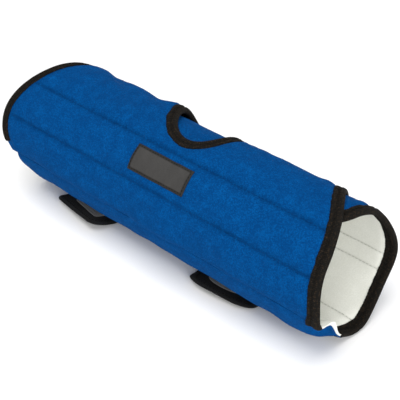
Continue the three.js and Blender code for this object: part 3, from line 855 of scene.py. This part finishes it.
# The tape's outer and inner face, seen across the edge: distance into the cloth, height.
TAPE_OUTER = (
    (8.4, 2.7), (8.5, 3.05), (8.0, 3.5), (6.8, 3.8), (5.5, 3.65), (4.5, 3.2),
    (3.4, 3.7), (2.1, 3.95), (0.9, 3.75), (0.0, 3.1), (-0.5, 2.3), (-0.62, 1.5),
    (-0.4, 0.7), (0.2, -0.1), (1.1, -0.6), (2.3, -0.7), (3.5, -0.45), (4.5, -0.05),
    (5.5, -0.4), (6.8, -0.5), (7.9, -0.25), (8.4, 0.1), (8.3, 0.5),
)
TAPE_INNER = (
    (8.2, 2.62), (7.0, 2.6), (5.0, 2.58), (2.8, 2.54), (1.5, 2.4), (0.9, 2.0),
    (0.75, 1.6), (0.9, 1.1), (1.5, 0.75), (2.8, 0.62), (5.0, 0.6), (7.0, 0.6), (8.2, 0.56),
)
TAPE_GROOVE, TAPE_MIDDLE, TAPE_REACH = 4.5, 1.6, 8.4
TAPE_END_ROUND, TAPE_END_MIDDLE = 2.6, 4.0
STITCH_PITCH, SCALLOP_PITCH = 3.1, 2.6
FLARE_LENGTH = 18.0


def resample(points, count):
    """A smooth line through control points, at evenly spaced points."""
    points = np.array(points)
    padded_line = np.vstack([2 * points[0] - points[1], points, 2 * points[-1] - points[-2]])
    fine = []
    for i in range(len(points) - 1):
        a, b, c, d = padded_line[i:i + 4]
        t = np.linspace(0.0, 1.0, 12, endpoint=False)[:, None]
        square, cube = 2 * a - 5 * b + 4 * c - d, 3 * b - a - 3 * c + d
        fine.append(0.5 * (2 * b + (c - a) * t + square * t**2 + cube * t**3))
    fine = np.vstack(fine + [points[-1:]])
    run = np.concatenate([[0.0], np.cumsum(np.hypot(*np.diff(fine, axis=0).T))])
    at = np.linspace(0.0, run[-1], count)
    return np.stack([np.interp(at, run, fine[:, 0]), np.interp(at, run, fine[:, 1])], 1)


def fold_tape(name, path, arc, closed, inner_width, flare, slant, seed):
    """Tape along an edge path, its inner half inner_width times as wide as the outer. Its
    first end is flare mm wider and cut slant mm longer there; it narrows at the far end."""
    outer, inner = resample(TAPE_OUTER, 30), resample(TAPE_INNER, 22)
    ring = np.vstack([outer, inner[::-1]])
    count = len(path["x"])
    run = path["run"][:, None]
    into, high = (np.repeat(column[None, :], count, 0) for column in ring.T)
    inside = smooth_step(TAPE_MIDDLE - high) * np.clip((into - 2.0) / 6.5, 0.0, 1.0)
    into = into + inside * TAPE_REACH * (inner_width - 1.0)
    if not closed:
        end = np.minimum(run, path["run"][-1] - run)
        short = (1.0 - end / TAPE_END_ROUND) ** 2 * (end < TAPE_END_ROUND)
        share = np.sqrt(np.clip(1.0 - short, 0.08, 1.0))
        into = TAPE_END_MIDDLE + (into - TAPE_END_MIDDLE) * (0.8 + 0.2 * share)
        high = TAPE_MIDDLE + (high - TAPE_MIDDLE) * share
    is_out = high > TAPE_MIDDLE
    lean = 0.15 * soft_noise(run, 0.0, 16.0, seed) + 0.13 * soft_noise(run, 0.0, 6.0, seed + 1)
    into = into + lean * smooth_step((into - 4.0) / 4.0) * np.where(is_out, 1.0, 0.5)
    on_outer = np.arange(len(ring))[None, :] < len(outer)
    dimple = 0.28 * np.cos(2.0 * math.pi * run / STITCH_PITCH) * bell(into - TAPE_GROOVE, 1.6)
    plump = 0.14 * soft_noise(run, into * 0.4, 9.0, seed + 2)
    uneven = 0.5 * soft_noise(run, 0.0, 9.0, seed + 3)
    scallop = 0.16 * np.cos(2.0 * math.pi * run / SCALLOP_PITCH + uneven)
    into = into + scallop * smooth_step((into - 7.0) / 1.2)
    rise = (dimple + plump) * np.where(is_out, 1.0, -1.0) * smooth_step((into - 0.8) / 2.0)
    high = high + np.where(on_outer, rise, 0.0)
    if not closed:
        narrow = 0.24 * smooth_step((-path["x"][:, None] - 100.0) / 30.0)
        into = np.where(into > 0.0, into * (1.0 - narrow), into)
    flared = (1.0 - smooth_step(run / FLARE_LENGTH)) * np.clip(into / 8.5, 0.0, 1.0)
    x = path["x"][:, None] + path["nx"][:, None] * (into + flare * flared)
    angle = (path["s"][:, None] + path["ns"][:, None] * into + slant * flared) / arc
    points = on_wrap(x, angle, high).reshape(-1, 3)
    width = len(ring)
    here = np.arange(count if closed else count - 1)[:, None]
    after = (here + 1) % count
    side = np.arange(width)
    next_side = (side + 1) % width
    faces = np.stack([
        here * width + side, here * width + next_side,
        after * width + next_side, after * width + side,
    ], -1).reshape(-1, 4)
    if not closed:
        step = np.arange(len(outer) - 1)
        cap = np.stack([step, width - 1 - step, width - 2 - step, step + 1], 1)
        faces = np.vstack([faces, cap, cap[:, ::-1] + (count - 1) * width])
    half_girth = 28.0
    girth = np.concatenate([
        np.linspace(0.0, half_girth, len(outer)), np.linspace(half_girth, 0.0, len(inner)),
    ])
    flat = np.stack(np.broadcast_arrays(run, girth[None, :], bell(into - TAPE_GROOVE, 0.8)), -1)
    return cloth_object(name, points, faces, flat.reshape(-1, 3))


def make_rib():
    """Ribbed knit: ridges across the tape, fine knit over them and lint here and there."""
    tree, given, out = group_tree(
        "ribbed_knit",
        [
            ("NodeSocketVector", "Place", None),
            ("NodeSocketColor", "Yarn", (0.0, 0.0, 0.0, 1.0)),
            ("NodeSocketColor", "Lint", (1.0, 1.0, 1.0, 1.0)),
            ("NodeSocketFloat", "Rib Pitch", 1.2),
            ("NodeSocketFloat", "Lint Amount", 0.3),
        ],
        [("NodeSocketColor", "Color"), ("NodeSocketFloat", "Height")],
    )
    place = given.outputs["Place"]
    parts = add_node(tree, "ShaderNodeSeparateXYZ", {0: place})
    wander = noise(tree, place, 0.5, 2.0)
    shift = calculate(tree, "MULTIPLY_ADD", wander.outputs["Fac"], 0.9, parts.outputs["X"])
    turns = calculate(tree, "DIVIDE", shift, given.outputs["Rib Pitch"])
    rib = calculate(tree, "SINE", calculate(tree, "MULTIPLY", turns, 2.0 * math.pi))
    knit = add_node(tree, "ShaderNodeTexVoronoi", {"Vector": place, "Scale": 1.7})
    fuzz = noise(tree, place, 2.6, 4.0, 0.7)
    ribbed = calculate(tree, "MULTIPLY_ADD", rib, 0.45, fuzz.outputs["Fac"])
    height = calculate(tree, "MULTIPLY_ADD", knit.outputs["Distance"], -0.5, ribbed)
    specks = noise(tree, place, 0.5, 5.0, 0.75)
    lint = remap(tree, specks.outputs["Fac"], 0.5, 0.66, 0.0, 1.0)
    worn = remap(tree, height, 0.0, 1.2, 0.1, 1.0)
    both = calculate(tree, "MULTIPLY", lint, worn)
    share = calculate(tree, "MULTIPLY", both, given.outputs["Lint Amount"], use_clamp=True)
    color = blend(tree, share, given.outputs["Yarn"], given.outputs["Lint"])
    tree.links.new(color, out.inputs["Color"])
    tree.links.new(height, out.inputs["Height"])
    return tree


ribbed_knit = make_rib()


def rib_material(name, yarn, lint, pitch, lint_amount, bump, sheen):
    """A ribbed or woven narrow cloth, with painted shade in its sewn groove."""
    made, tree, output = new_material(name)
    place, groove = flat_place(tree)
    ribs = add_node(tree, "ShaderNodeGroup", {
        "Place": place, "Yarn": yarn, "Lint": lint, "Rib Pitch": pitch, "Lint Amount": lint_amount,
    }, node_tree=ribbed_knit)
    # Painted shade: the colour is darkened in the groove where the tape is sewn through.
    shade = calculate(tree, "MULTIPLY", groove, 0.6)
    color = blend(tree, shade, ribs.outputs["Color"], darker(yarn))
    cloth_surface(tree, output, color, ribs.outputs["Height"], bump, 0.9, {
        "Roughness": 0.9, "Specular IOR Level": 0.1,
        "Sheen Weight": sheen, "Sheen Roughness": 0.5,
    })
    return made


BLACK_YARN = (0.0062, 0.0056, 0.0048, 1.0)
BLACK_LINT = (0.085, 0.052, 0.026, 1.0)
black_tape = rib_material(
    "black_ribbed_tape", BLACK_YARN, BLACK_LINT,
    pitch=1.3, lint_amount=1.0, bump=0.00035, sheen=0.0,
)

tape_paths = {
    "top": (top_leaf.edge(FOLD_TOP + 7.8, FOLD_TOP - 7.0, 0.85), top_leaf.arc),
    "lower": (lower_leaf.edge(FOLD_BOTTOM - 11.0, FOLD_BOTTOM + 1.6, 0.9), lower_leaf.arc),
    "opening": (opening_path(0.85), top_leaf.arc),
}
# Both leaf paths run up the near end first; the way into the cloth is on their left for
# the lower leaf and on their right for the top leaf. Round the opening it is outwards.
for key in ("top", "opening"):
    for axis in ("nx", "ns"):
        tape_paths[key][0][axis] = -tape_paths[key][0][axis]
TAPES = (
    # edge, piece, node, inner half's width, flare and slant at the first end, seed
    ("top", "top_leaf_tape", "top_leaf_binding", 1.0, 3.8, 6.5, 101),
    ("lower", "lower_leaf_tape", "lower_leaf_binding", 1.0, 3.0, 0.0, 111),
    ("opening", "opening_tape", "opening_binding", 2.2, 0.0, 0.0, 121),
)
for key, name, node, inner_width, flare, slant, seed in TAPES:
    path, arc = tape_paths[key]
    tape = fold_tape(name, path, arc, key == "opening", inner_width, flare, slant, seed)
    tape.data.materials.append(black_tape)
    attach(tape, "root")
    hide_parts(node)

# Label: a woven rectangle with turned-in edges, sewn to the front of the top leaf with a
# running stitch. It is left blank.

LABEL_HEM = 2.6
LABEL_LIFT, LABEL_BULK, LABEL_HEM_RISE = 0.25, 0.55, 0.22
LABEL_STITCH_INSET = 1.5
TAPE_FAR_OFF = 60.0
along, across = np.meshgrid(np.linspace(-0.5, 0.5, 96), np.linspace(-0.5, 0.5, 42))
x = LABEL_ALONG + LABEL_LENGTH * along
angle = LABEL_ANGLE + LABEL_HEIGHT * across / top_leaf.arc
inside = np.minimum(LABEL_LENGTH * (0.5 - np.abs(along)), LABEL_HEIGHT * (0.5 - np.abs(across)))
cover = top_cover_height(x, angle, np.full(x.shape, TAPE_FAR_OFF))
rounded = LABEL_BULK * np.sqrt(np.clip(inside / 0.7, 0.0, 1.0))
hem = LABEL_HEM_RISE * smooth_step((LABEL_HEM - inside) / 0.6)
sewn = 0.16 * bell(inside - LABEL_STITCH_INSET, 0.45)
wave = 0.09 * soft_noise(x, angle, 12.0, 131)
label_face = cover + LABEL_LIFT + rounded + hem - sewn + wave
label = shell(
    "blank_label",
    on_wrap(x, angle, label_face),
    on_wrap(x, angle, cover + 0.12),
    np.stack([x, (angle - LABEL_ANGLE) * top_leaf.arc, smooth_step((LABEL_HEM - inside) / 0.5)], -1),
)


def make_weave():
    """Satin weave: fine warp lines broken by the weft."""
    tree, given, out = group_tree(
        "satin_weave",
        [("NodeSocketVector", "Place", None), ("NodeSocketFloat", "Thread", 0.35)],
        [("NodeSocketFloat", "Height"), ("NodeSocketFloat", "Mottle")],
    )
    parts = add_node(tree, "ShaderNodeSeparateXYZ", {0: given.outputs["Place"]})
    waves = []
    for axis in ("X", "Y"):
        turns = calculate(tree, "DIVIDE", parts.outputs[axis], given.outputs["Thread"])
        waves.append(calculate(tree, "SINE", calculate(tree, "MULTIPLY", turns, math.pi)))
    over = calculate(tree, "MULTIPLY", *waves)
    inputs = {"Vector": given.outputs["Place"], "Scale": (0.5, 3.0, 1.0)}
    streak = add_node(tree, "ShaderNodeMapping", inputs)
    yarn = noise(tree, streak.outputs[0], 1.0, 4.0)
    height = calculate(tree, "MULTIPLY_ADD", over, 0.5, yarn.outputs["Fac"])
    tree.links.new(height, out.inputs["Height"])
    tree.links.new(yarn.outputs["Fac"], out.inputs["Mottle"])
    return tree


satin_weave = make_weave()
SATIN_DARK, SATIN_LIGHT = (0.02, 0.019, 0.018, 1.0), (0.042, 0.04, 0.038, 1.0)
SATIN_HEM = (0.007, 0.006, 0.005, 1.0)
label_satin, tree, output = new_material("label_satin")
place, hem_share = flat_place(tree)
weave = add_node(tree, "ShaderNodeGroup", {"Place": place, "Thread": 0.4}, node_tree=satin_weave)
ground = blend(tree, weave.outputs["Mottle"], SATIN_DARK, SATIN_LIGHT)
color = blend(tree, hem_share, ground, SATIN_HEM)
cloth_surface(tree, output, color, weave.outputs["Height"], 0.00012, 0.8, {
    "Roughness": 0.62, "Specular IOR Level": 0.35,
})
label.data.materials.append(label_satin)
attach(label, "root")
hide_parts("label_patch")

# Straps: two black straps, sewn outside the top leaf's free edge at the back. Each runs
# down the back and under the tube, and ends in a free tab at the front, with a grey hook
# patch sewn on the face towards the brace.

STRAP_WALL, STRAP_GAP = 2.0, 0.4
HOOK_WALL, HOOK_LENGTH = 0.8, 32.0
STRAP_ANCHOR, STRAP_SETTLE = 14.0, 12.0
STRAP_LIFT = math.radians(34.0)
STRAP_ROUND, STRAP_STITCH_INSET = 1.1, 4.6
OVER_TAPE = 1.25
# Places and lengths in millimetres. The tip is how far its rounding goes along and across,
# and the margin is the bare cloth round the hook patch.
STRAPS = (
    {"name": "far", "middle": -79.0, "skew": 14.0, "width": 57.0, "tab": 43.9,
     "tip": (7.0, 8.0), "margin": 12.0},
    {"name": "near", "middle": 58.0, "skew": -9.0, "width": 58.5, "tab": 41.0,
     "tip": (11.5, 25.0), "margin": 11.8},
)


def strap_line(tab):
    """Line of a strap's inner face as (y, z) about the tube's axis, and its length."""
    bottom = TUBE_RADIUS - BOTTOM_SAG + STRAP_GAP + HOOK_WALL + STRAP_GAP
    angle = np.linspace(STRAP_ANCHOR, -90.0, 150)
    on_tape = smooth_step((STRAP_ANCHOR - angle) / STRAP_SETTLE)
    over = STRAP_GAP + (OVER_TAPE - STRAP_GAP) * on_tape
    round_part = TUBE_RADIUS + over
    down = np.maximum(-np.sin(np.radians(angle)), 1e-3)
    radius = np.minimum(round_part, bottom / down)
    y, z = radius * np.cos(np.radians(angle)), radius * np.sin(np.radians(angle))
    flat = bottom * math.tan(math.acos((TUBE_RADIUS - BOTTOM_SAG) / TUBE_RADIUS))
    free = tab - flat
    arc = free / STRAP_LIFT
    turn = np.linspace(0.0, STRAP_LIFT, 40)[1:]
    y = np.concatenate([y, [-flat / 2.0, -flat], -flat - arc * np.sin(turn)])
    z = np.concatenate([z, [-bottom, -bottom], -bottom + arc * (1.0 - np.cos(turn))])
    run = np.concatenate([[0.0], np.cumsum(np.hypot(np.diff(y), np.diff(z)))])
    return y, z, run


def strap_point(strap, along, side, height):
    """Points in metres: along from the sewn end, side across, height outside the face."""
    y, z, run = strap_line(strap["tab"])
    pivot = run[-1] - strap["tab"]
    turn = math.radians(strap["skew"])
    ahead = along - pivot
    x = strap["middle"] + side * math.cos(turn) - ahead * math.sin(turn)
    at = pivot + ahead * math.cos(turn) + side * math.sin(turn)
    ty, tz = np.gradient(y, run), np.gradient(z, run)
    length = np.hypot(ty, tz)
    ty, tz = ty / length, tz / length
    beyond = at - run[-1]
    before = np.minimum(at, 0.0)
    inside = np.clip(at, 0.0, run[-1])
    wy, wz = np.interp(inside, run, ty), np.interp(inside, run, tz)
    py = np.interp(inside, run, y) + wy * (np.maximum(beyond, 0.0) + before)
    pz = np.interp(inside, run, z) + wz * (np.maximum(beyond, 0.0) + before)
    places = np.stack([x, py - wz * height, pz + wy * height], -1)
    return (np.array(ROLL_AXIS) + places) / MM_IN_METRE


def tip_width(along, to, half_width, tip_along, tip_across):
    """Half width of a strap with a rounded tip, at a place along it."""
    inside = np.clip((along - (to - tip_along)) / tip_along, 0.0, 1.0)
    return half_width - tip_across * (1.0 - np.sqrt(1.0 - inside**2))


def strap_grid(from_, to, half_width, tip_along, tip_across, step):
    """Grid on a strap with a rounded tip: along, side and the distance to its edge."""
    straight = np.arange(from_, to - tip_along, step)
    tip = to - tip_along + tip_along * np.sin(np.radians(np.linspace(0.0, 90.0, 14)))
    along = np.append(straight, tip)[:, None]
    half = tip_width(along, to, half_width, tip_along, tip_across)
    share = np.sin(np.linspace(-math.pi / 2.0, math.pi / 2.0, 46))[None, :]
    side = half * share
    rim = np.minimum(half - np.abs(side), np.minimum(along - from_, to - along))
    return np.broadcast_to(along, side.shape), side, np.maximum(rim, 0.0)


STRAP_YARN, STRAP_LINT = (0.0065, 0.0065, 0.0062, 1.0), (0.03, 0.031, 0.032, 1.0)
strap_cloth = rib_material(
    "black_strap_cloth", STRAP_YARN, STRAP_LINT,
    pitch=0.9, lint_amount=0.7, bump=0.0003, sheen=0.05,
)

HOOK_DARK, HOOK_LIGHT = (0.08, 0.08, 0.08, 1.0), (0.36, 0.36, 0.354, 1.0)
hook_tape, tree, output = new_material("grey_hook_tape")
mark = add_node(tree, "ShaderNodeAttribute", attribute_name="cloth_flat")
fuzz = noise(tree, mark.outputs["Vector"], 0.9, 5.0, 0.7).outputs["Fac"]
cloth_surface(tree, output, blend(tree, fuzz, HOOK_DARK, HOOK_LIGHT), fuzz, 0.0003, 0.7, {
    "Roughness": 0.6, "Specular IOR Level": 0.4,
})

# A bristle's levels: height above the patch, how far it leans, half thickness.
HOOK_LEVELS = ((0.4, 0.0, 0.3), (0.95, 0.5, 0.24), (1.15, 1.2, 0.2))
HOOK_CORNERS = (0.0, 2.1, 4.2)
HOOK_PITCH, HOOK_INSET = 1.45, 1.6
for number, strap in enumerate(STRAPS):
    name, half, margin = strap["name"], strap["width"] / 2.0, strap["margin"]
    length = float(strap_line(strap["tab"])[2][-1])
    along, side, rim = strap_grid(0.0, length, half, *strap["tip"], 1.8)
    edge_round = np.sqrt(np.clip(rim / STRAP_ROUND, 0.0, 1.0))
    roll = 0.35 * bell(rim - 2.4, 1.6) * smooth_step(along / 30.0)
    wave = 0.12 * soft_noise(along, side, 16.0, 141 + number)
    sewn = 0.25 * bell(rim - STRAP_STITCH_INSET, 0.6)
    middle_height = STRAP_WALL / 2.0
    face = middle_height + (STRAP_WALL / 2.0 - 0.1) * edge_round
    back = middle_height - (STRAP_WALL / 2.0 - 0.1) * edge_round
    tab_share = smooth_step((along - (length - strap["tab"])) / 12.0)
    back = back - (roll - sewn + wave * 0.5) * tab_share * edge_round
    strip = shell(
        "strap_" + name + "_cloth",
        strap_point(strap, along, side, face),
        strap_point(strap, along, side, back),
        np.stack([along, side, np.zeros_like(side)], -1),
    )
    strip.data.materials.append(strap_cloth)
    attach(strip, "root")
    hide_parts("strap_" + name)

    end = length - margin
    hook_tip = (max(strap["tip"][0] - 4.0, 3.0), max(strap["tip"][1] - 7.0, 3.0))
    along, side, rim = strap_grid(end - HOOK_LENGTH, end, half - margin, *hook_tip, 1.6)
    edge_round = np.sqrt(np.clip(rim / 0.5, 0.0, 1.0))
    base = shell(
        "hook_base_" + name,
        strap_point(strap, along, side, -STRAP_GAP - 0.05),
        strap_point(strap, along, side, -STRAP_GAP - 0.1 - 0.35 * edge_round),
        np.stack([along, side, np.zeros_like(side)], -1),
    )
    base.data.materials.append(hook_tape)
    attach(base, "root")
    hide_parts("hook_patch_" + name)

    # The hooks: short bent bristles in rows, each leaning its own way.
    draw = np.random.default_rng(151 + number)
    points, faces, flats = [], [], []
    rows = np.arange(end - HOOK_LENGTH + HOOK_INSET, end - HOOK_INSET, HOOK_PITCH)
    for k, row in enumerate(rows):
        limit = tip_width(row, end, half - margin, *hook_tip) - 1.4
        sides = np.arange(-limit, limit, HOOK_PITCH) + (0.5 * HOOK_PITCH if k % 2 else 0.0)
        for lateral in sides:
            lean, turn = draw.uniform(0.15, 0.5), draw.uniform(0.0, 2.0 * math.pi)
            first = len(points)
            for level, (up, out, thick) in enumerate(HOOK_LEVELS):
                for corner_turn in HOOK_CORNERS:
                    u = row + lean * out * math.cos(turn) + thick * math.cos(corner_turn)
                    v = lateral + lean * out * math.sin(turn) + thick * math.sin(corner_turn)
                    points.append((u, v, -STRAP_GAP - up))
                    flats.append((u * 3.0, v * 3.0, float(level)))
            for level in range(2):
                for c in range(3):
                    d = (c + 1) % 3
                    a, b = first + level * 3, first + level * 3 + 3
                    faces.append((a + c, a + d, b + d, b + c))
            faces.append((first + 6, first + 7, first + 8, first + 8))
            faces.append((first + 2, first + 1, first, first))
    points = np.array(points)
    placed = strap_point(strap, points[:, 0], points[:, 1], points[:, 2])
    mesh = bpy.data.meshes.new("hooks_" + name)
    mesh.from_pydata(placed.tolist(), [], [f[:3] if f[2] == f[3] else f for f in faces])
    mark = mesh.attributes.new("cloth_flat", "FLOAT_VECTOR", "POINT")
    mark.data.foreach_set("vector", np.array(flats, dtype=np.float32).ravel())
    hooks = bpy.data.objects.new("hooks_" + name, mesh)
    bpy.context.collection.objects.link(hooks)
    mesh.materials.append(hook_tape)
    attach(hooks, "root")

# Stitching: the quilting thread in the blue cloth and the lining, black thread in the
# middle of the tape, and black thread round the label and on the straps.

THREAD_SIDES = 5
STITCH_LENGTH = 0.0024
STITCH_RINGS = (
    # place along as a share of the length, rise and thickness as shares of the radius
    (-0.5, -0.9, 0.55),
    (-0.25, 0.45, 1.0),
    (0.0, 0.75, 1.0),
    (0.25, 0.45, 1.0),
    (0.5, -0.9, 0.55),
)


def thread_mesh(name, middles, ways, ups, length, radius, material, slot):
    """One object of short arched stitches; middles, ways and ups are arrays of points,
    unit directions along the seam and unit directions out of the cloth."""
    side = np.cross(ways, ups)
    turn = np.linspace(0.0, 2.0 * math.pi, THREAD_SIDES, endpoint=False)
    rings = []
    for step, rise, thick in STITCH_RINGS:
        centre = middles + ways * (step * length) + ups * (rise * radius)
        r = thick * radius
        for t in turn:
            rings.append(centre + side * (r * math.cos(t)) + ups * (r * math.sin(t)))
    points = np.stack(rings, 1).reshape(-1, 3)
    per = len(rings)
    one = []
    for level in range(len(STITCH_RINGS) - 1):
        for c in range(THREAD_SIDES):
            d = (c + 1) % THREAD_SIDES
            a, b = level * THREAD_SIDES, (level + 1) * THREAD_SIDES
            one.append((a + c, b + c, b + d, a + d))
    start = tuple(range(THREAD_SIDES))
    end = tuple(per - 1 - k for k in range(THREAD_SIDES))
    faces = []
    for n in range(len(middles)):
        faces += [tuple(n * per + v for v in f) for f in one]
        faces += [tuple(n * per + v for v in start), tuple(n * per + v for v in end)]
    mesh = bpy.data.meshes.new(name)
    mesh.from_pydata(points.tolist(), [], faces)
    mesh.shade_smooth()
    mesh.materials.append(material)
    made = bpy.data.objects.new(name, mesh)
    bpy.context.collection.objects.link(made)
    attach(made, "root")
    return made


def along_wrap(x, angle, height):
    """Stitch middles, ways and ups for places in order along a seam on the wrap."""
    step = 0.4
    points = on_wrap(x, angle, height)
    dx, da = np.gradient(x), np.gradient(angle)
    size = np.hypot(dx, da)
    ways = on_wrap(x + dx / size * step, angle + da / size * step, height) - points
    ways /= np.linalg.norm(ways, axis=1, keepdims=True)
    ups = on_wrap(x, angle, height + 1.0) - points
    ups -= ways * (ups * ways).sum(1, keepdims=True)
    ups /= np.linalg.norm(ups, axis=1, keepdims=True)
    return points, ways, ups


def thread_material(name, color):
    """Twisted thread, a little lighter and darker along it."""
    made, tree, output = new_material(name)
    place = add_node(tree, "ShaderNodeTexCoord")
    twist = noise(tree, place.outputs["Object"], 2500.0, 2.0).outputs["Fac"]
    dark = tuple(c * 0.6 for c in color) + (1.0,)
    light = tuple(min(c * 1.4, 1.0) for c in color) + (1.0,)
    cloth_surface(tree, output, blend(tree, twist, dark, light), twist, 0.0001, 1.0, {
        "Roughness": 0.8, "Specular IOR Level": 0.05,
    })
    return made


blue_thread = thread_material("blue_thread", (0.0008, 0.035, 0.14))
grey_thread = thread_material("grey_thread", (0.4, 0.4, 0.35))
black_thread = thread_material("black_thread", (0.012, 0.011, 0.009))


def seam_stitches(name, leaf, edges, height_of, shift, facing, radius, material, slot):
    """Stitches along a leaf's quilting lines, from tape to tape, on its outer face (facing
    1) or on its lining (facing -1)."""
    sets = []
    for line in leaf.lines:
        far, near = leaf.reach(line)
        x = np.arange(TAPE_WIDTH - far, near - TAPE_WIDTH, STITCH_PITCH) + shift
        angle = np.full(x.shape, line)
        gap = np.min([distance_to(x, angle * leaf.arc, edge) for edge in edges], axis=0)
        keep = gap > TAPE_WIDTH + 0.5
        x, angle, gap = x[keep], angle[keep], gap[keep]
        height = height_of(x, angle, gap) + 0.05 * facing
        points, ways, ups = along_wrap(x, angle, height)
        sets.append((points, ways, ups * facing))
    joined = [np.concatenate(parts) for parts in zip(*sets)]
    thread_mesh(name, *joined, STITCH_LENGTH, radius, material, slot)


# Stitches of each side: shift along the seam, facing, radius, thread and slot.
OUTSIDE = (0.0, 1.0, 0.00022, blue_thread, "blue_loop_cloth")
INSIDE = (1.2, -1.0, 0.0002, grey_thread, "white_lining")
top_edges, lower_edges = (top_edge, opening_edge), (lower_edge,)
seam_stitches("top_seam_thread", top_leaf, top_edges, top_cover_height, *OUTSIDE)
seam_stitches("lower_seam_thread", lower_leaf, lower_edges, lower_cover_height, *OUTSIDE)
seam_stitches("top_lining_thread", top_leaf, top_edges, top_lining_height, *INSIDE)
seam_stitches("lower_lining_thread", lower_leaf, lower_edges, lower_lining_height, *INSIDE)

# Along the middle of the tape, outside and inside.
TAPE_FACES = ((3.14, 1.0), (0.0, -1.0))
for key, (path, arc) in tape_paths.items():
    run = path["run"]
    at = np.arange(STITCH_PITCH / 2.0, run[-1], STITCH_PITCH)
    sets = []
    for height, flip in TAPE_FACES:
        x = np.interp(at, run, path["x"] + TAPE_GROOVE * path["nx"])
        angle = np.interp(at, run, path["s"] + TAPE_GROOVE * path["ns"]) / arc
        points, ways, ups = along_wrap(x, angle, np.full(x.shape, height))
        sets.append((points, ways, ups * flip))
    joined = [np.concatenate(parts) for parts in zip(*sets)]
    thread_mesh(key + "_tape_thread", *joined, STITCH_LENGTH, 0.00024, black_thread, "black_tape")

# Round the label.
half_l = LABEL_LENGTH / 2.0 - LABEL_STITCH_INSET
half_h = LABEL_HEIGHT / 2.0 - LABEL_STITCH_INSET
corners = np.array([(-half_l, -half_h), (half_l, -half_h), (half_l, half_h), (-half_l, half_h)])
ring = even_path(corners[:, 0], corners[:, 1], 2.6, True)
x = LABEL_ALONG + ring["x"]
angle = LABEL_ANGLE + ring["s"] / top_leaf.arc
under_label = top_cover_height(x, angle, np.full(x.shape, TAPE_FAR_OFF))
on_label = under_label + LABEL_LIFT + LABEL_BULK + LABEL_HEM_RISE - 0.1
thread_mesh("label_thread", *along_wrap(x, angle, on_label), 0.0017, 0.0002, black_thread, "label_satin")

# On the straps: round each tab, and a box over each sewn end.
STRAP_STITCH_PITCH = 2.9
BOX_INSET, BOX_END = 4.0, 22.0
for strap in STRAPS:
    half = strap["width"] / 2.0
    length = float(strap_line(strap["tab"])[2][-1])
    tip_end, tip_half = length - STRAP_STITCH_INSET, half - STRAP_STITCH_INSET
    inner_tip = (strap["tip"][0] - 2.5, strap["tip"][1] - 3.0)
    tip_turn = np.sin(np.radians(np.linspace(0.0, 90.0, 16)))
    tip_run = tip_end - inner_tip[0] + inner_tip[0] * tip_turn
    along_a = np.append(length - strap["tab"] - 20.0, tip_run)
    side_a = tip_width(along_a, tip_end, tip_half, *inner_tip)
    side = np.concatenate([side_a, -side_a[::-1]])
    along = np.concatenate([along_a, along_a[::-1]])
    tab_path = even_path(along, side, STRAP_STITCH_PITCH, False)
    low, high, wide = BOX_INSET, BOX_END, half - BOX_INSET
    box = np.array([(low, -wide), (high, -wide), (high, wide), (low, wide)])
    box_path = even_path(box[:, 0], box[:, 1], STRAP_STITCH_PITCH, True)
    sets = []
    top = STRAP_WALL - 0.05
    for path, height, flip in (
        (tab_path, -0.12, -1.0), (tab_path, top, 1.0), (box_path, top, 1.0)
    ):
        u, v = path["x"], path["s"]
        points = strap_point(strap, u, v, np.full(u.shape, height))
        du, dv = path["ns"], -path["nx"]
        ways = strap_point(strap, u + du * 0.3, v + dv * 0.3, np.full(u.shape, height)) - points
        ways /= np.linalg.norm(ways, axis=1, keepdims=True)
        ups = strap_point(strap, u, v, np.full(u.shape, height + flip)) - points
        ups /= np.linalg.norm(ups, axis=1, keepdims=True)
        sets.append((points, ways, ups))
    joined = [np.concatenate(parts) for parts in zip(*sets)]
    thread_name = "strap_" + strap["name"] + "_thread"
    thread_mesh(thread_name, *joined, 0.0022, 0.00022, black_thread, "strap_cloth")
